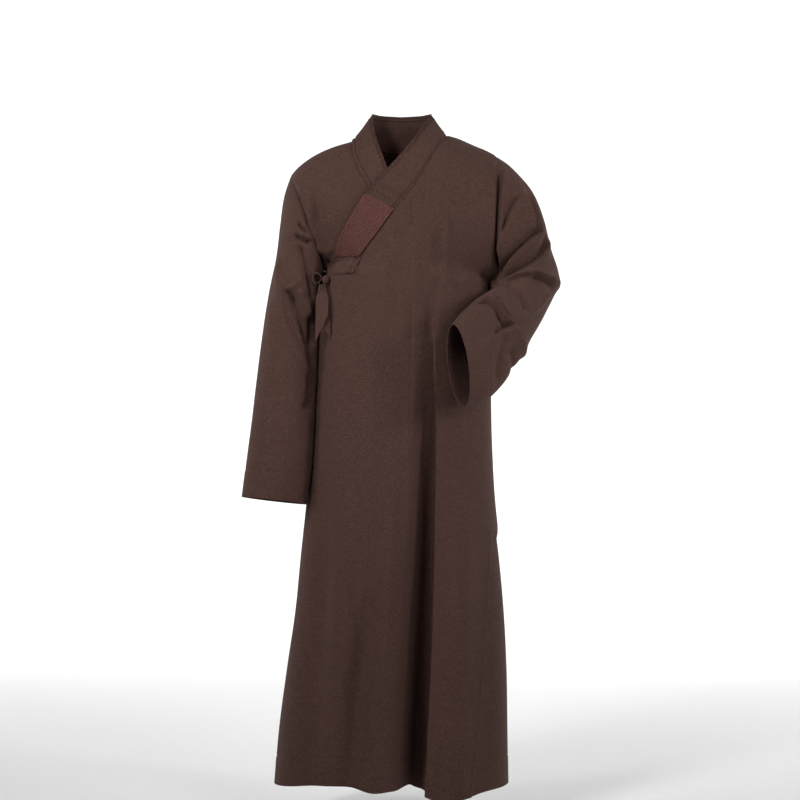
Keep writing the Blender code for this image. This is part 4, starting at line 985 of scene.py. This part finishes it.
BODY_ROWS = np.unique(np.concatenate([
    positions(ROWS_CHEST, FINE_CHEST, NEAR_EDGE),
    ROWS_CHEST + positions(ROWS_SKIRT, FINE_SKIRT, (), HEM_ROWS)]))


def panel_levels(tops):
    """Levels of a panel's points. Each column has its own top; rows below YOKE are shared."""
    nominal = row_levels(BODY_ROWS)[:, None]
    squeezed = tops + (YOKE - tops) * (nominal + 1) / (YOKE + 1)
    return np.where(nominal > YOKE, nominal, squeezed)


def seam_columns(places, x_tops, lines, level):
    """Angles of columns that run from a collar seam to their lines in the skirt."""
    columns = []
    for j, place in enumerate(places):
        i = min(int(place), len(lines) - 2)
        low = lines[i](level[:, j]) * (i + 1 - place) + lines[i + 1](level[:, j]) * (place - i)
        columns.append(angle_at(column_x(x_tops[j], low, level[:, j]), level[:, j]))
    return columns


def constant(value):
    """Line with the same x at every level."""
    return lambda level: np.full(np.shape(level), value)


def level_side(start, end, shares):
    """Columns of angles between two others."""
    return [start + (end - start) * share for share in shares]


def fine_shares(shares):
    """Fine steps of a list of shares, without the first."""
    places = positions(len(shares) - 1, FINE_COLUMNS, (), NEAR_EDGE)
    return np.interp(places, np.arange(len(shares)), shares)[1:]


def fine_seam(seam_x):
    """Fine places along a collar seam, and their x."""
    places = positions(len(seam_x) - 1, FINE_COLUMNS, NEAR_EDGE)
    return places, np.interp(places, np.arange(len(seam_x)), seam_x)


def hem_height(grid):
    """Small step and row of stitching of the turned hem at the low edge."""
    low = from_edge(grid, "low")
    step = HEM_RISE * ease((HEM_DEPTH - low) / HEM_STEP)
    return step + groove(low, HEM_DEPTH - HEM_STITCH, STITCH_DEPTH, STITCH_WIDTH)


def tuck_recess(grid):
    """The deep fold passes under its sharp left edge."""
    x = grid[..., 0]
    drop = -grid[..., 2]
    edge = smooth_curve(drop, RECESS["drop"], RECESS["edge"])
    depth = smooth_curve(drop, RECESS["drop"], RECESS["depth"])
    starts = ease((x - edge + UNDERCUT_REACH) / (UNDERCUT_GROWS * UNDERCUT_REACH))
    near = starts * ease((edge + UNDERCUT_PAST - x) / UNDERCUT_END)
    shift = np.minimum(UNDERCUT, UNDERCUT_SHARE * depth) * near
    return grid + shift[..., None] * np.array([1.0, 0.0, 0.0])


def body_panel(name, surface, half, phi, level, edges, creases):
    """One body panel, as a shell with its seams, hem and creases."""
    grid = surface(phi, level)
    if surface is outer_front:
        grid = tuck_recess(grid)
    grows = phi[-1, 0] < phi[-1, -1]
    turned = half if grows else -half
    for edge, column, side in (("start", 0, -1 if grows else 1), ("end", -1, 1 if grows else -1)):
        if abs(phi[0, column] - SIDE_ANGLE[side]) < AT_SIDE:
            dip = armhole_dip(np.clip(-level, 0, 1), side)
            grid[..., 1] += half * dip * np.exp(-(from_edge(grid, edge) / DIP_WIDTH["body"]) ** DIP_POWER)
    normal = turned * grid_normals(grid)
    height = body_creases(grid[..., 0], -grid[..., 2], creases)
    side_turn = np.where(level < 0, SLEEVE_SEAM_TURN, SEAM_TURN)
    turns = {"top": NECK_TURN, "start": FRONT_SEAM_TURN, "end": side_turn}
    for edge in edges:
        height = height + groove(from_edge(grid, edge), 0, turns[edge], SEAM_TURN_WIDTH)
    grid = grid + (height + hem_height(grid))[..., None] * normal
    return cloth_mesh(name, grid, turned * grid_normals(grid), THICK, CLOTH)


def make_front_left():
    """Left front, from the centre-front seam to the left side."""
    seam_x = [SEAM_FRONT, 0.0407, 0.0601, 0.0785, 0.0880, 0.0945, NECK_LEFT]
    places, x_tops = fine_seam(seam_x)
    shares = fine_shares([0, 0.16, 0.32, 0.48, 0.63, 0.77, 0.89, 1.0])
    tops = np.append(seam_tops(x_tops, OUTER_SEAM), [-1.0] * len(shares))
    tops[len(x_tops) - 1] = -1.0
    level = panel_levels(tops)

    def edge(level):
        return smooth_curve(drops_of(level), RECESS["drop"], RECESS["edge"])

    lines = [
        constant(SEAM_FRONT),
        lambda level: (SEAM_FRONT + edge(level) - RECESS_WALL) / 2,
        lambda level: edge(level) - RECESS_WALL,
        lambda level: edge(level) - 0.45 * RECESS_WALL,
        edge,
        lambda level: edge(level) + 0.008,
        lambda level: edge(level) + 0.020,
    ]
    columns = seam_columns(places, x_tops, lines, level)
    columns += level_side(columns[-1], left_side_angle(level[:, -1]), shares)
    phi = np.stack(columns, axis=1)
    return body_panel("cloth_front_left", outer_front, 1, phi, level,
                      ("top", "start", "end"), FRONT_CREASES)


def make_front_overlap():
    """Outer overlap, from the centre-front seam to its free edge at the right side."""
    seam_x = [SEAM_FRONT, -0.0072, -0.0265, -0.0461, -0.0675, -0.0882, -0.1052]
    band_x = [-0.1185, -0.1320, -0.1458]
    hem_lines = [SEAM_FRONT, 0.008, -0.003, -0.014, -0.026, -0.043, *SKIRT_X]
    places, x_tops = fine_seam(seam_x + band_x)
    along_band = places > len(seam_x) - 1
    tops = np.where(along_band, level_at(x_tops, -BAND_END), seam_tops(x_tops, OUTER_SEAM))
    shares = fine_shares([0, *SIDE_SHARES])
    side_top = (BAND_END - UNDERARM_RIGHT) / (HEM - UNDERARM_RIGHT)
    tops = np.append(tops, tops[-1] + (side_top - tops[-1]) * shares)
    level = panel_levels(tops)
    columns = seam_columns(places, x_tops, [constant(x) for x in hem_lines], level)
    columns += level_side(columns[-1], FREE_EDGE_ANGLE, shares)
    phi = np.stack(columns, axis=1)
    return body_panel("cloth_front_overlap", outer_front, 1, phi, level,
                      ("top", "start"), FRONT_CREASES)


def make_front_inner():
    """Right front, under the overlap."""
    seam_x = [0.0040, -0.0168, -0.0462, -0.0765, -0.0985, -0.1055, -0.1090, -0.1108, -0.1118]
    seam_x.append(NECK_RIGHT)
    places, x_tops = fine_seam(seam_x)
    shares = fine_shares([0, 0.30, 0.65, 1.0])
    tops = np.append(seam_tops(x_tops, INNER_SEAM), [-1.0] * len(shares))
    tops[len(x_tops) - 1] = -1.0
    level = panel_levels(tops)
    edge = smooth_curve(drops_of(level[:, 0]), INNER_EDGE["drop"], INNER_EDGE["x"])
    one = level[:, 0]
    free = np.full(len(one), FREE_EDGE_ANGLE)
    low = [angle_at(edge, one)]
    low += [angle_at(np.full(len(one), x), one) for x in SKIRT_X]
    low += level_side(low[-1], free, SIDE_SHARES)
    low += level_side(low[-1], np.zeros(len(one)), [0.2, 0.4, 0.6, 0.8, 1.0])
    low = np.array(low)
    sides = len(seam_x) - 1 + np.interp(shares, [0, 0.30, 0.65, 1.0], [0, 1, 2, 3])
    at = np.concatenate([places, sides])
    high = [angle_at(np.full(len(one), x), level[:, j]) for j, x in enumerate(x_tops)]
    high += level_side(high[-1], np.zeros(len(one)), shares)
    columns = []
    for j, place in enumerate(at):
        i = min(int(place), len(low) - 2)
        target = low[i] * (i + 1 - place) + low[i + 1] * (place - i)
        columns.append(high[j] + (target - high[j]) * low_share(level[:, j]))
    phi = np.stack(columns, axis=1)
    return body_panel("cloth_front_inner", inner_front, 1, phi, level,
                      ("top", "end"), INNER_CREASES)


def make_back(name, neck, side_angle, creases):
    """One back panel, from the centre-back seam to its side."""
    seam_x = neck * np.array(BACK_NECK_SHARES)
    x_tops = fine_seam(seam_x)[1]
    shares = fine_shares([0, 0.12, 0.27, 0.44, 0.61, 0.77, 0.90, 1.0])
    tops = np.append(nape_level(x_tops, neck), [-1.0] * len(shares))
    level = panel_levels(tops)
    columns = [angle_at(column_x(x_top, BACK_FLARE * x_top, level[:, j]), level[:, j])
               for j, x_top in enumerate(x_tops)]
    columns += level_side(columns[-1], side_angle(level[:, -1]), shares)
    phi = np.stack(columns, axis=1)
    if neck < 0:
        phi = phi[:, ::-1]
        level = level[:, ::-1]
    return body_panel(name, back, -1, phi, level, ("top", "start", "end"), creases)


# ---------------------------------------------------------------- sleeves

def sleeve_form(sections, side):
    """Outer face of a sleeve without creases, as a function of turn and along."""
    def form(turn, along):
        turn = np.mod(turn, 2.0)
        point = sleeve_section(turn, along, sections, side)
        edge = armhole(turn, side)[0]
        start = sleeve_section(turn, np.zeros_like(along), sections, side)
        reach = np.clip(1 - along / ARMHOLE_REACH, 0, 1) ** 2
        return point + (edge - start) * reach[..., None]
    return form


def make_sleeve(name, sections, side, creases):
    """Sleeve tube from the armhole to the open cuff."""
    last = len(sections["depth"]) - 1
    hem = last - CUFF_SECTIONS[side]
    alongs = positions(last, FINE_SLEEVE, NEAR_EDGE, (0.02, 0.05))
    alongs = np.unique(np.append(alongs, hem + np.array([-0.03, 0.0, 0.03])))
    turns = np.arange(SLEEVE_TURNS) * 2 / SLEEVE_TURNS
    along, turn = np.meshgrid(alongs, turns, indexing="ij")
    form = sleeve_form(sections, side)
    grid = form(turn, along)
    normal = side * grid_normals(grid, ring=True)
    height = sleeve_creases(grid, normal, creases, form)
    inner = np.minimum(turn, 2 - turn)
    moves = ease((inner - STILL_TURN[0]) / (STILL_TURN[1] - STILL_TURN[0]))
    height = height * ease(along / STILL_RUN) * moves
    grid = grid + height[..., None] * normal
    dip = armhole_dip(inner, side)
    dip = dip * np.exp(-(from_edge(grid, "top") / DIP_WIDTH["sleeve"]) ** DIP_POWER)
    grid[..., 1] += np.where(turn <= 1, 1, -1) * dip
    normal = side * grid_normals(grid, ring=True)
    seam = groove(from_edge(grid, "top"), 0, SLEEVE_SEAM_TURN, SEAM_TURN_WIDTH)
    grid = grid + (seam + hem_height(grid))[..., None] * normal
    return cloth_mesh(name, grid, side * grid_normals(grid, ring=True), THICK, CLOTH, ring=True)


# ---------------------------------------------------------------- collar

def outward_normals(grid):
    """Normals of a collar grid, pointing away from the neck and chest."""
    normal = grid_normals(grid)
    outward = grid - np.array(NECK_INSIDE)
    outward[..., 2] *= NECK_UPRIGHT
    return normal * np.sign(np.sum(normal * outward, axis=-1, keepdims=True))


def band_form(stations, seam, surface, neck):
    """Fine outer face of a collar band, with the places of its rows and columns."""
    knots = np.arange(len(stations["seam_x"]), dtype=float)
    rows = positions(len(knots) - 1, BAND_ROWS, NEAR_EDGE, NEAR_EDGE)
    x = np.interp(rows, knots, stations["seam_x"])
    behind = rows <= BACK_STATIONS
    level = np.where(behind, nape_level(x, neck), seam_tops(x, seam))
    phi = angle_at(x, level)
    start = np.where(behind[:, None], back(phi, level), surface(phi, level))
    body = np.where(behind[:, None], surface_normal(back, phi, level, -1),
                    surface_normal(surface, phi, level, 1))
    free = np.stack([smooth_curve(rows, knots, stations["free_" + a]) for a in "xyz"], axis=-1)
    lie = np.clip(smooth_curve(rows, knots, stations["lie"]), 0, 1)[:, None]
    shares = positions(BAND_COLUMNS, BAND_STEPS, NEAR_EDGE, BAND_FOLD) / BAND_COLUMNS
    grid = start[:, None] + (free - start)[:, None] * shares[None, :, None]
    level = level_at(grid[..., 0], grid[..., 2])
    lying = surface(angle_at(grid[..., 0], level), level)
    grid[:, 1:] += ((lying - grid) * lie[..., None])[:, 1:]
    bulge = BAND_BULGE * (1 - lie) * np.sin(np.pi * shares)
    lift = BAND_LIFT * lie * ease(shares / LIFT_SHARE)
    grid = grid + (bulge + lift)[..., None] * outward_normals(grid)
    grid[0, :, 0] = 0.0
    normal = outward_normals(grid)
    normal[:, 0] = unit(normal[:, 0] + (body - normal[:, 0]) * lie)
    normal[0] = unit(normal[0] * np.array([0.0, 1.0, 1.0]))
    return rows, shares, grid, normal


def band_details(rows, shares, grid, cross_seams, edge_lines, seam_lines):
    """Stitched troughs, cross seams and the folded free edge of a band."""
    from_free = from_edge(grid, "end")
    from_seam = from_edge(grid, "start")
    height = groove(from_seam, 0, SEAM_TURN, SEAM_TURN_WIDTH)
    for at in edge_lines:
        height = height + groove(from_free, at, BAND_STITCH_DEPTH, STITCH_WIDTH)
    for at in seam_lines:
        height = height + groove(from_seam, at, BAND_STITCH_DEPTH, STITCH_WIDTH)
    along = from_edge(grid, "top")
    for first, second, depth in cross_seams:
        at = first + (second - first) * shares
        line = np.array([np.interp(at[j], rows, along[:, j]) for j in range(len(shares))])
        height = height + groove(along, line[None, :], depth, CROSS_SEAM_WIDTH)
    fold = np.clip(1 - from_free / BAND_ROUND, 0, 1)
    height = height - BAND_END_DROP * (1 - ease(from_edge(grid, "low") / BAND_END_RUN))
    return height - BAND_ROUND * (1 - np.sqrt(np.maximum(1 - fold ** 2, 0)))


def make_band(name, form, cross_seams, edge_lines, seam_lines):
    """Collar band as a shell."""
    rows, shares, grid, normal = form
    height = band_details(rows, shares, grid, cross_seams, edge_lines, seam_lines)
    grid = grid + height[..., None] * normal
    away = unit(grid[:, :1] - grid[:, 1:2])
    turned = grid[:, :1] + BAND_TURN * away - BAND_TURN * normal[:, :1]
    full = np.concatenate([turned, grid], axis=1)
    normals = np.concatenate([normal[:, :1], normal], axis=1)
    return cloth_mesh(name, full, normals, BAND_THICK, CLOTH)


def grid_value(grid, row, column):
    """Straight-line value between the points of a grid."""
    i = np.clip(np.floor(row).astype(int), 0, grid.shape[0] - 2)
    j = np.clip(np.floor(column).astype(int), 0, grid.shape[1] - 2)
    a = (row - i)[..., None]
    b = (column - j)[..., None]
    top = grid[i, j] * (1 - b) + grid[i, j + 1] * b
    low = grid[i + 1, j] * (1 - b) + grid[i + 1, j + 1] * b
    return top * (1 - a) + low * a


def band_place(form, station, share):
    """Row and column of a station and share in a band's fine grid."""
    rows, shares = form[0], form[1]
    return (np.interp(station, rows, np.arange(len(rows))),
            np.interp(share, shares, np.arange(len(shares))))


def make_patch(form):
    """Ribbed patch: lengthwise ribs between stitched rows, with turned edges."""
    across = np.linspace(PATCH_INSET, 1 - PATCH_INSET, PATCH_RIBS * RIB_STEPS + 1)
    middle = np.linspace(PATCH_EDGE_ROWS[-1], 1 - PATCH_EDGE_ROWS[-1], PATCH_ROWS)
    ends = np.array(PATCH_EDGE_ROWS[:-1])
    down = np.concatenate([ends, middle, 1 - ends[::-1]])
    down, across = np.meshgrid(down, across, indexing="ij")
    top = PATCH_TOP[0] + (PATCH_TOP[1] - PATCH_TOP[0]) * across
    low = PATCH_LOW[0] + (PATCH_LOW[1] - PATCH_LOW[0]) * across
    low = low + PATCH_BOW * 4 * across * (1 - across)
    row, column = band_place(form, top + (low - top) * down, across)
    under = grid_value(form[2], row, column)
    out = unit(grid_value(form[3], row, column))
    inner = under + PATCH_GAP * out
    phase = np.abs(np.sin(np.pi * PATCH_RIBS * (across - PATCH_INSET) / (1 - 2 * PATCH_INSET)))
    border = np.minimum(down, 1 - down) / PATCH_END_ROUND
    side = np.minimum(across - PATCH_INSET, 1 - PATCH_INSET - across) / PATCH_SIDE_ROUND
    swell = PATCH_THICK + RIB_HEIGHT * phase ** RIB_POWER
    rounded = np.sqrt(np.clip(border, PATCH_EDGE, 1)) * np.sqrt(np.clip(side, PATCH_EDGE, 1))
    outer = inner + (swell * rounded)[..., None] * out
    return cloth_mesh("cloth_collar_patch", outer, outer - inner, 1.0, PATCH_CLOTH)


# ---------------------------------------------------------------- side tie

def make_knot():
    """Rounded knot of folded cloth, with a wrap round its middle."""
    angles = np.linspace(0, 2 * math.pi, KNOT_STEPS[1], endpoint=False)
    heights = np.linspace(0, math.pi, KNOT_STEPS[0])[1:-1]
    height, angle = np.meshgrid(heights, angles, indexing="ij")
    wrap = 1 + KNOT_WRAP["height"] * np.exp(-((height - KNOT_WRAP["at"]) / KNOT_WRAP["width"]) ** 2)
    folds = 1 + sum(deep * np.sin(round_ * angle + down * height) for deep, round_, down in KNOT_FOLDS)
    size = np.array(TIE_KNOT["size"]) / 2
    across = np.sin(height) ** KNOT_FLAT * wrap * folds
    grid = np.stack([
        size[0] * across * np.cos(angle),
        size[1] * across * np.sin(angle),
        size[2] * np.cos(height) * (1 + KNOT_TIP * np.cos(2 * angle)),
    ], axis=-1) + np.array(TIE_KNOT["at"])
    normal = unit(grid - np.array(TIE_KNOT["at"]))
    return cloth_mesh("cloth_tie_knot", grid, normal, KNOT_WALL, CLOTH, ring=True)


def make_loop():
    """Soft rounded loop of the tie, open to the front."""
    widths = np.linspace(-0.5, 0.5, LOOP_STEPS[0])
    angles = np.arange(LOOP_STEPS[1]) * 2 * math.pi / LOOP_STEPS[1]
    width, angle = np.meshgrid(widths, angles, indexing="ij")
    pinch = 1 - LOOP_PINCH * np.exp(-((np.cos(angle) - 1) / LOOP_PINCH_WIDTH) ** 2)
    wave = 1 + LOOP_WAVES[0] * np.sin(3 * angle + 1.0) + LOOP_WAVES[1] * np.sin(5 * angle + 4 * width)
    curl = 1 - LOOP_CURL * (2 * width) ** 2
    across = TIE_LOOP["radius"][0] * np.cos(angle) * curl
    x = TIE_LOOP["at"][0] + across
    y = TIE_LOOP["at"][1] + TIE_LOOP["width"] * width * pinch + LOOP_TURN * across
    z = TIE_LOOP["at"][2] + TIE_LOOP["radius"][1] * pinch * np.sin(angle) * wave * curl
    grid = np.stack([x, y, z], axis=-1)
    normal = unit(np.stack([np.cos(angle), np.zeros_like(angle), np.sin(angle)], axis=-1))
    return cloth_mesh("cloth_tie_loop", grid, normal, TIE_WALL, CLOTH, ring=True)


def make_tail(name, i):
    """Hanging tail with a gathered top, stitched edges and a slanted end."""
    downs = np.linspace(0, 1, TAIL_STEPS[0])
    acrosses = np.linspace(-0.5, 0.5, TAIL_STEPS[1])
    down, across = np.meshgrid(downs, acrosses, indexing="ij")
    width = TAILS["width"][i] * (TAIL_TOP_WIDTH + (1 - TAIL_TOP_WIDTH) * ease(down / TAIL_WIDENS))
    length = TAILS["length"][i] + TAILS["slant"][i] * across * ease(down)
    x = TAILS["x"][i] + across * width + TAILS["lean"][i] * down
    gather = TAIL_GATHER * (1 - ease(down / TAIL_GATHER_RUN)) * np.cos(6 * math.pi * across)
    sway = TAIL_SWAY * np.sin(3.1 * down + 0.4) * (across + 0.5)
    y = TAILS["y_top"][i] - TAIL_LEAN * down - gather - sway
    z = TAILS["z_top"][i] - length * down
    grid = np.stack([x, y, z], axis=-1)
    normal = grid_normals(grid)
    normal = normal * np.sign(-normal[..., 1:2])
    stitch = groove((0.5 - np.abs(across)) * width, *TAIL_STITCH)
    grid = grid + stitch[..., None] * normal
    return cloth_mesh(name, grid, normal, TIE_WALL, CLOTH)


# ---------------------------------------------------------------- materials

def node(tree, kind, **inputs):
    """Shader node with some inputs set by name."""
    made = tree.nodes.new(kind)
    for name, value in inputs.items():
        made.inputs[name.replace("_", " ")].default_value = value
    return made


def mix_colour(tree, share, first, second, blend="MIX"):
    """Colour mix. Each part is a socket or a colour."""
    made = tree.nodes.new("ShaderNodeMix")
    made.data_type = "RGBA"
    made.blend_type = blend
    for socket, value in ((made.inputs[0], share), (made.inputs[6], first), (made.inputs[7], second)):
        if isinstance(value, bpy.types.NodeSocket):
            tree.links.new(value, socket)
        else:
            socket.default_value = value if socket == made.inputs[0] else (*value, 1.0)
    return made.outputs[2]


def noise(tree, place, detail, stretch):
    """Noise with so many waves a metre along the weft and the warp, as a socket."""
    move = tree.nodes.new("ShaderNodeMapping")
    move.inputs["Scale"].default_value = (*stretch, 1.0)
    tree.links.new(place, move.inputs["Vector"])
    made = node(tree, "ShaderNodeTexNoise", Scale=1.0, Detail=detail, Roughness=0.6)
    tree.links.new(move.outputs[0], made.inputs["Vector"])
    return made.outputs["Fac"]


def remap(tree, value, low, high, to_low, to_high):
    """Value stretched from one range to another, as a socket."""
    made = tree.nodes.new("ShaderNodeMapRange")
    for name, number in (("From Min", low), ("From Max", high), ("To Min", to_low), ("To Max", to_high)):
        made.inputs[name].default_value = number
    tree.links.new(value, made.inputs["Value"])
    return made.outputs[0]


def weave_wave(tree, place, along, pitch):
    """Rounded threads that run across one direction, as a socket from 0 to 1."""
    made = tree.nodes.new("ShaderNodeTexWave")
    made.wave_type = "BANDS"
    made.bands_direction = along
    made.wave_profile = "SIN"
    made.inputs["Scale"].default_value = WAVE_SCALE / pitch
    for name, value in THREAD_WAVE.items():
        made.inputs[name].default_value = value
    tree.links.new(place, made.inputs["Vector"])
    return made.outputs["Fac"]


def combine(tree, kind, first, second):
    """Sum or product of two values, as a socket."""
    made = tree.nodes.new("ShaderNodeMath")
    made.operation = kind
    for socket, value in zip(made.inputs, (first, second)):
        if isinstance(value, bpy.types.NodeSocket):
            tree.links.new(value, socket)
        else:
            socket.default_value = value
    return made.outputs[0]


def cloth_material(name, dark, light, fleck):
    """Matt heathered plain weave: thread relief, short slubs, flecks and soft mottling."""
    made = bpy.data.materials.new(name)
    made.use_nodes = True
    tree = made.node_tree
    shader = tree.nodes["Principled BSDF"]
    for socket, value in CLOTH_SURFACE.items():
        shader.inputs[socket].default_value = value
    uv = tree.nodes.new("ShaderNodeUVMap")
    uv.uv_map = "weave"
    place = uv.outputs[0]
    threads = combine(tree, "MULTIPLY", weave_wave(tree, place, "X", THREAD_PITCH),
                      weave_wave(tree, place, "Y", THREAD_PITCH))
    yarn = {kind: noise(tree, place, detail, stretch) for kind, (detail, stretch) in YARN.items()}
    grain = combine(tree, "ADD", combine(tree, "MULTIPLY", yarn["slub"], GRAIN_SHARES[0]),
                    combine(tree, "MULTIPLY", yarn["warp"], GRAIN_SHARES[1]))
    colour = mix_colour(tree, remap(tree, grain, *GRAIN_RANGE), dark, light)
    colour = mix_colour(tree, remap(tree, yarn["speck"], *FLECK_RANGE), colour, fleck)
    # painted shade in the gaps between threads and painted light on their crossings, beside the bump relief
    level = remap(tree, threads, *THREAD_PAINTED_SHADE)
    for kind, amount in YARN_SHADES.items():
        shade = remap(tree, yarn[kind], *NOISE_RANGE, 1 - amount, 1 + amount)
        level = combine(tree, "MULTIPLY", level, shade)
    grey = tree.nodes.new("ShaderNodeCombineColor")
    for k in range(3):
        tree.links.new(level, grey.inputs[k])
    colour = mix_colour(tree, 1.0, colour, grey.outputs[0], "MULTIPLY")
    tree.links.new(colour, shader.inputs["Base Color"])
    relief = combine(tree, "ADD", threads, combine(tree, "MULTIPLY", grain, GRAIN_RELIEF))
    bump = node(tree, "ShaderNodeBump", Strength=0.5, Distance=0.0003)
    tree.links.new(relief, bump.inputs["Height"])
    soft = node(tree, "ShaderNodeBump", Strength=0.3, Distance=0.001)
    tree.links.new(yarn["mottle"], soft.inputs["Height"])
    tree.links.new(bump.outputs[0], soft.inputs["Normal"])
    tree.links.new(soft.outputs[0], shader.inputs["Normal"])
    return made


def plain_material(name, colour, roughness):
    """Even material of the floor."""
    made = bpy.data.materials.new(name)
    made.use_nodes = True
    shader = made.node_tree.nodes["Principled BSDF"]
    shader.inputs["Base Color"].default_value = (*colour, 1.0)
    shader.inputs["Roughness"].default_value = roughness
    return made


# ---------------------------------------------------------------- studio

def add_light(name, place, target, size, power, spread):
    """Large soft lamp that points at a target."""
    lamp = bpy.data.lights.new(name, "AREA")
    lamp.shape = "RECTANGLE"
    lamp.size, lamp.size_y = size
    lamp.energy = power
    lamp.spread = math.radians(spread)
    made = bpy.data.objects.new(name, lamp)
    made.location = place
    way = np.array(target) - np.array(place)
    flat = math.hypot(way[0], way[1])
    made.rotation_euler = (math.atan2(flat, -way[2]), 0, math.atan2(way[1], way[0]) - math.pi / 2)
    bpy.context.scene.collection.objects.link(made)


def make_cove():
    """Pale floor that curves up into a pale wall."""
    bend = [(COVE_Y + COVE_BEND * math.sin(a), FLOOR_Z + COVE_BEND * (1 - math.cos(a)))
            for a in np.linspace(0, math.pi / 2, COVE_STEPS)]
    line = [(FLOOR_FRONT, FLOOR_Z), *bend, (bend[-1][0], WALL_TOP)]
    points = [(x, y, z) for y, z in line for x in (-FLOOR_HALF_WIDTH, FLOOR_HALF_WIDTH)]
    faces = [(2 * k, 2 * k + 1, 2 * k + 3, 2 * k + 2) for k in range(len(line) - 1)]
    mesh = bpy.data.meshes.new("floor")
    mesh.from_pydata(points, [], faces)
    mesh.shade_smooth()
    mesh.materials.append(plain_material("floor_pale", FLOOR_COLOUR, 0.9))
    made = bpy.data.objects.new("floor", mesh)
    bpy.context.scene.collection.objects.link(made)


def make_studio():
    """Pale cove, white surroundings, soft lamps and the camera."""
    make_cove()
    world = bpy.data.worlds.new("studio")
    world.use_nodes = True
    back_light = world.node_tree.nodes["Background"]
    back_light.inputs["Color"].default_value = (1.0, 1.0, 1.0, 1.0)
    back_light.inputs["Strength"].default_value = WORLD_STRENGTH
    bpy.context.scene.world = world
    for lamp in LAMPS:
        add_light(*lamp)
    camera = bpy.data.cameras.new("camera")
    camera.lens = LENS
    camera.sensor_width = SENSOR
    made = bpy.data.objects.new("camera", camera)
    made.location = CAMERA_AT
    made.rotation_euler = (math.pi / 2, 0, 0)
    bpy.context.scene.collection.objects.link(made)
    bpy.context.scene.camera = made
    bpy.context.scene.view_settings.view_transform = "Standard"


# ---------------------------------------------------------------- robe

def settle(made, node_name):
    """A piece rides on the robe and stands for its solid."""
    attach(made, "root")
    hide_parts(node_name)


make_studio()
CLOTH = cloth_material("robe_cloth_woven", CLOTH_DARK, CLOTH_LIGHT, CLOTH_FLECK)
PATCH_CLOTH = cloth_material("patch_cloth_woven", PATCH_DARK, PATCH_LIGHT, PATCH_FLECK)

made_pieces = {}
made_pieces["front_left"] = make_front_left()
made_pieces["front_overlap"] = make_front_overlap()
made_pieces["front_inner"] = make_front_inner()
made_pieces["back_left"] = make_back("cloth_back_left", NECK_LEFT, back_left_side, BACK_CREASES)
made_pieces["back_right"] = make_back("cloth_back_right", NECK_RIGHT, back_right_side, BACK_CREASES)
made_pieces["sleeve_left"] = make_sleeve("cloth_sleeve_left", LEFT_SLEEVE, 1, LEFT_CREASES)
made_pieces["sleeve_right"] = make_sleeve("cloth_sleeve_right", RIGHT_SLEEVE, -1, RIGHT_CREASES)
outer_form = band_form(OUTER_BAND, OUTER_SEAM, outer_front, NECK_LEFT)
inner_form = band_form(INNER_BAND, INNER_SEAM, inner_front, NECK_RIGHT)
made_pieces["collar_left"] = make_band("cloth_collar_left", outer_form, CROSS_SEAMS,
                                       OUTER_EDGE_LINES, OUTER_SEAM_LINES)
made_pieces["collar_right"] = make_band("cloth_collar_right", inner_form, [],
                                        INNER_EDGE_LINES, INNER_SEAM_LINES)
made_pieces["collar_patch"] = make_patch(outer_form)
made_pieces["tie_knot"] = make_knot()
made_pieces["tie_loop"] = make_loop()
made_pieces["tie_tail_front"] = make_tail("cloth_tie_tail_front", 0)
made_pieces["tie_tail_back"] = make_tail("cloth_tie_tail_back", 1)

for node_name, made in made_pieces.items():
    settle(made, node_name)
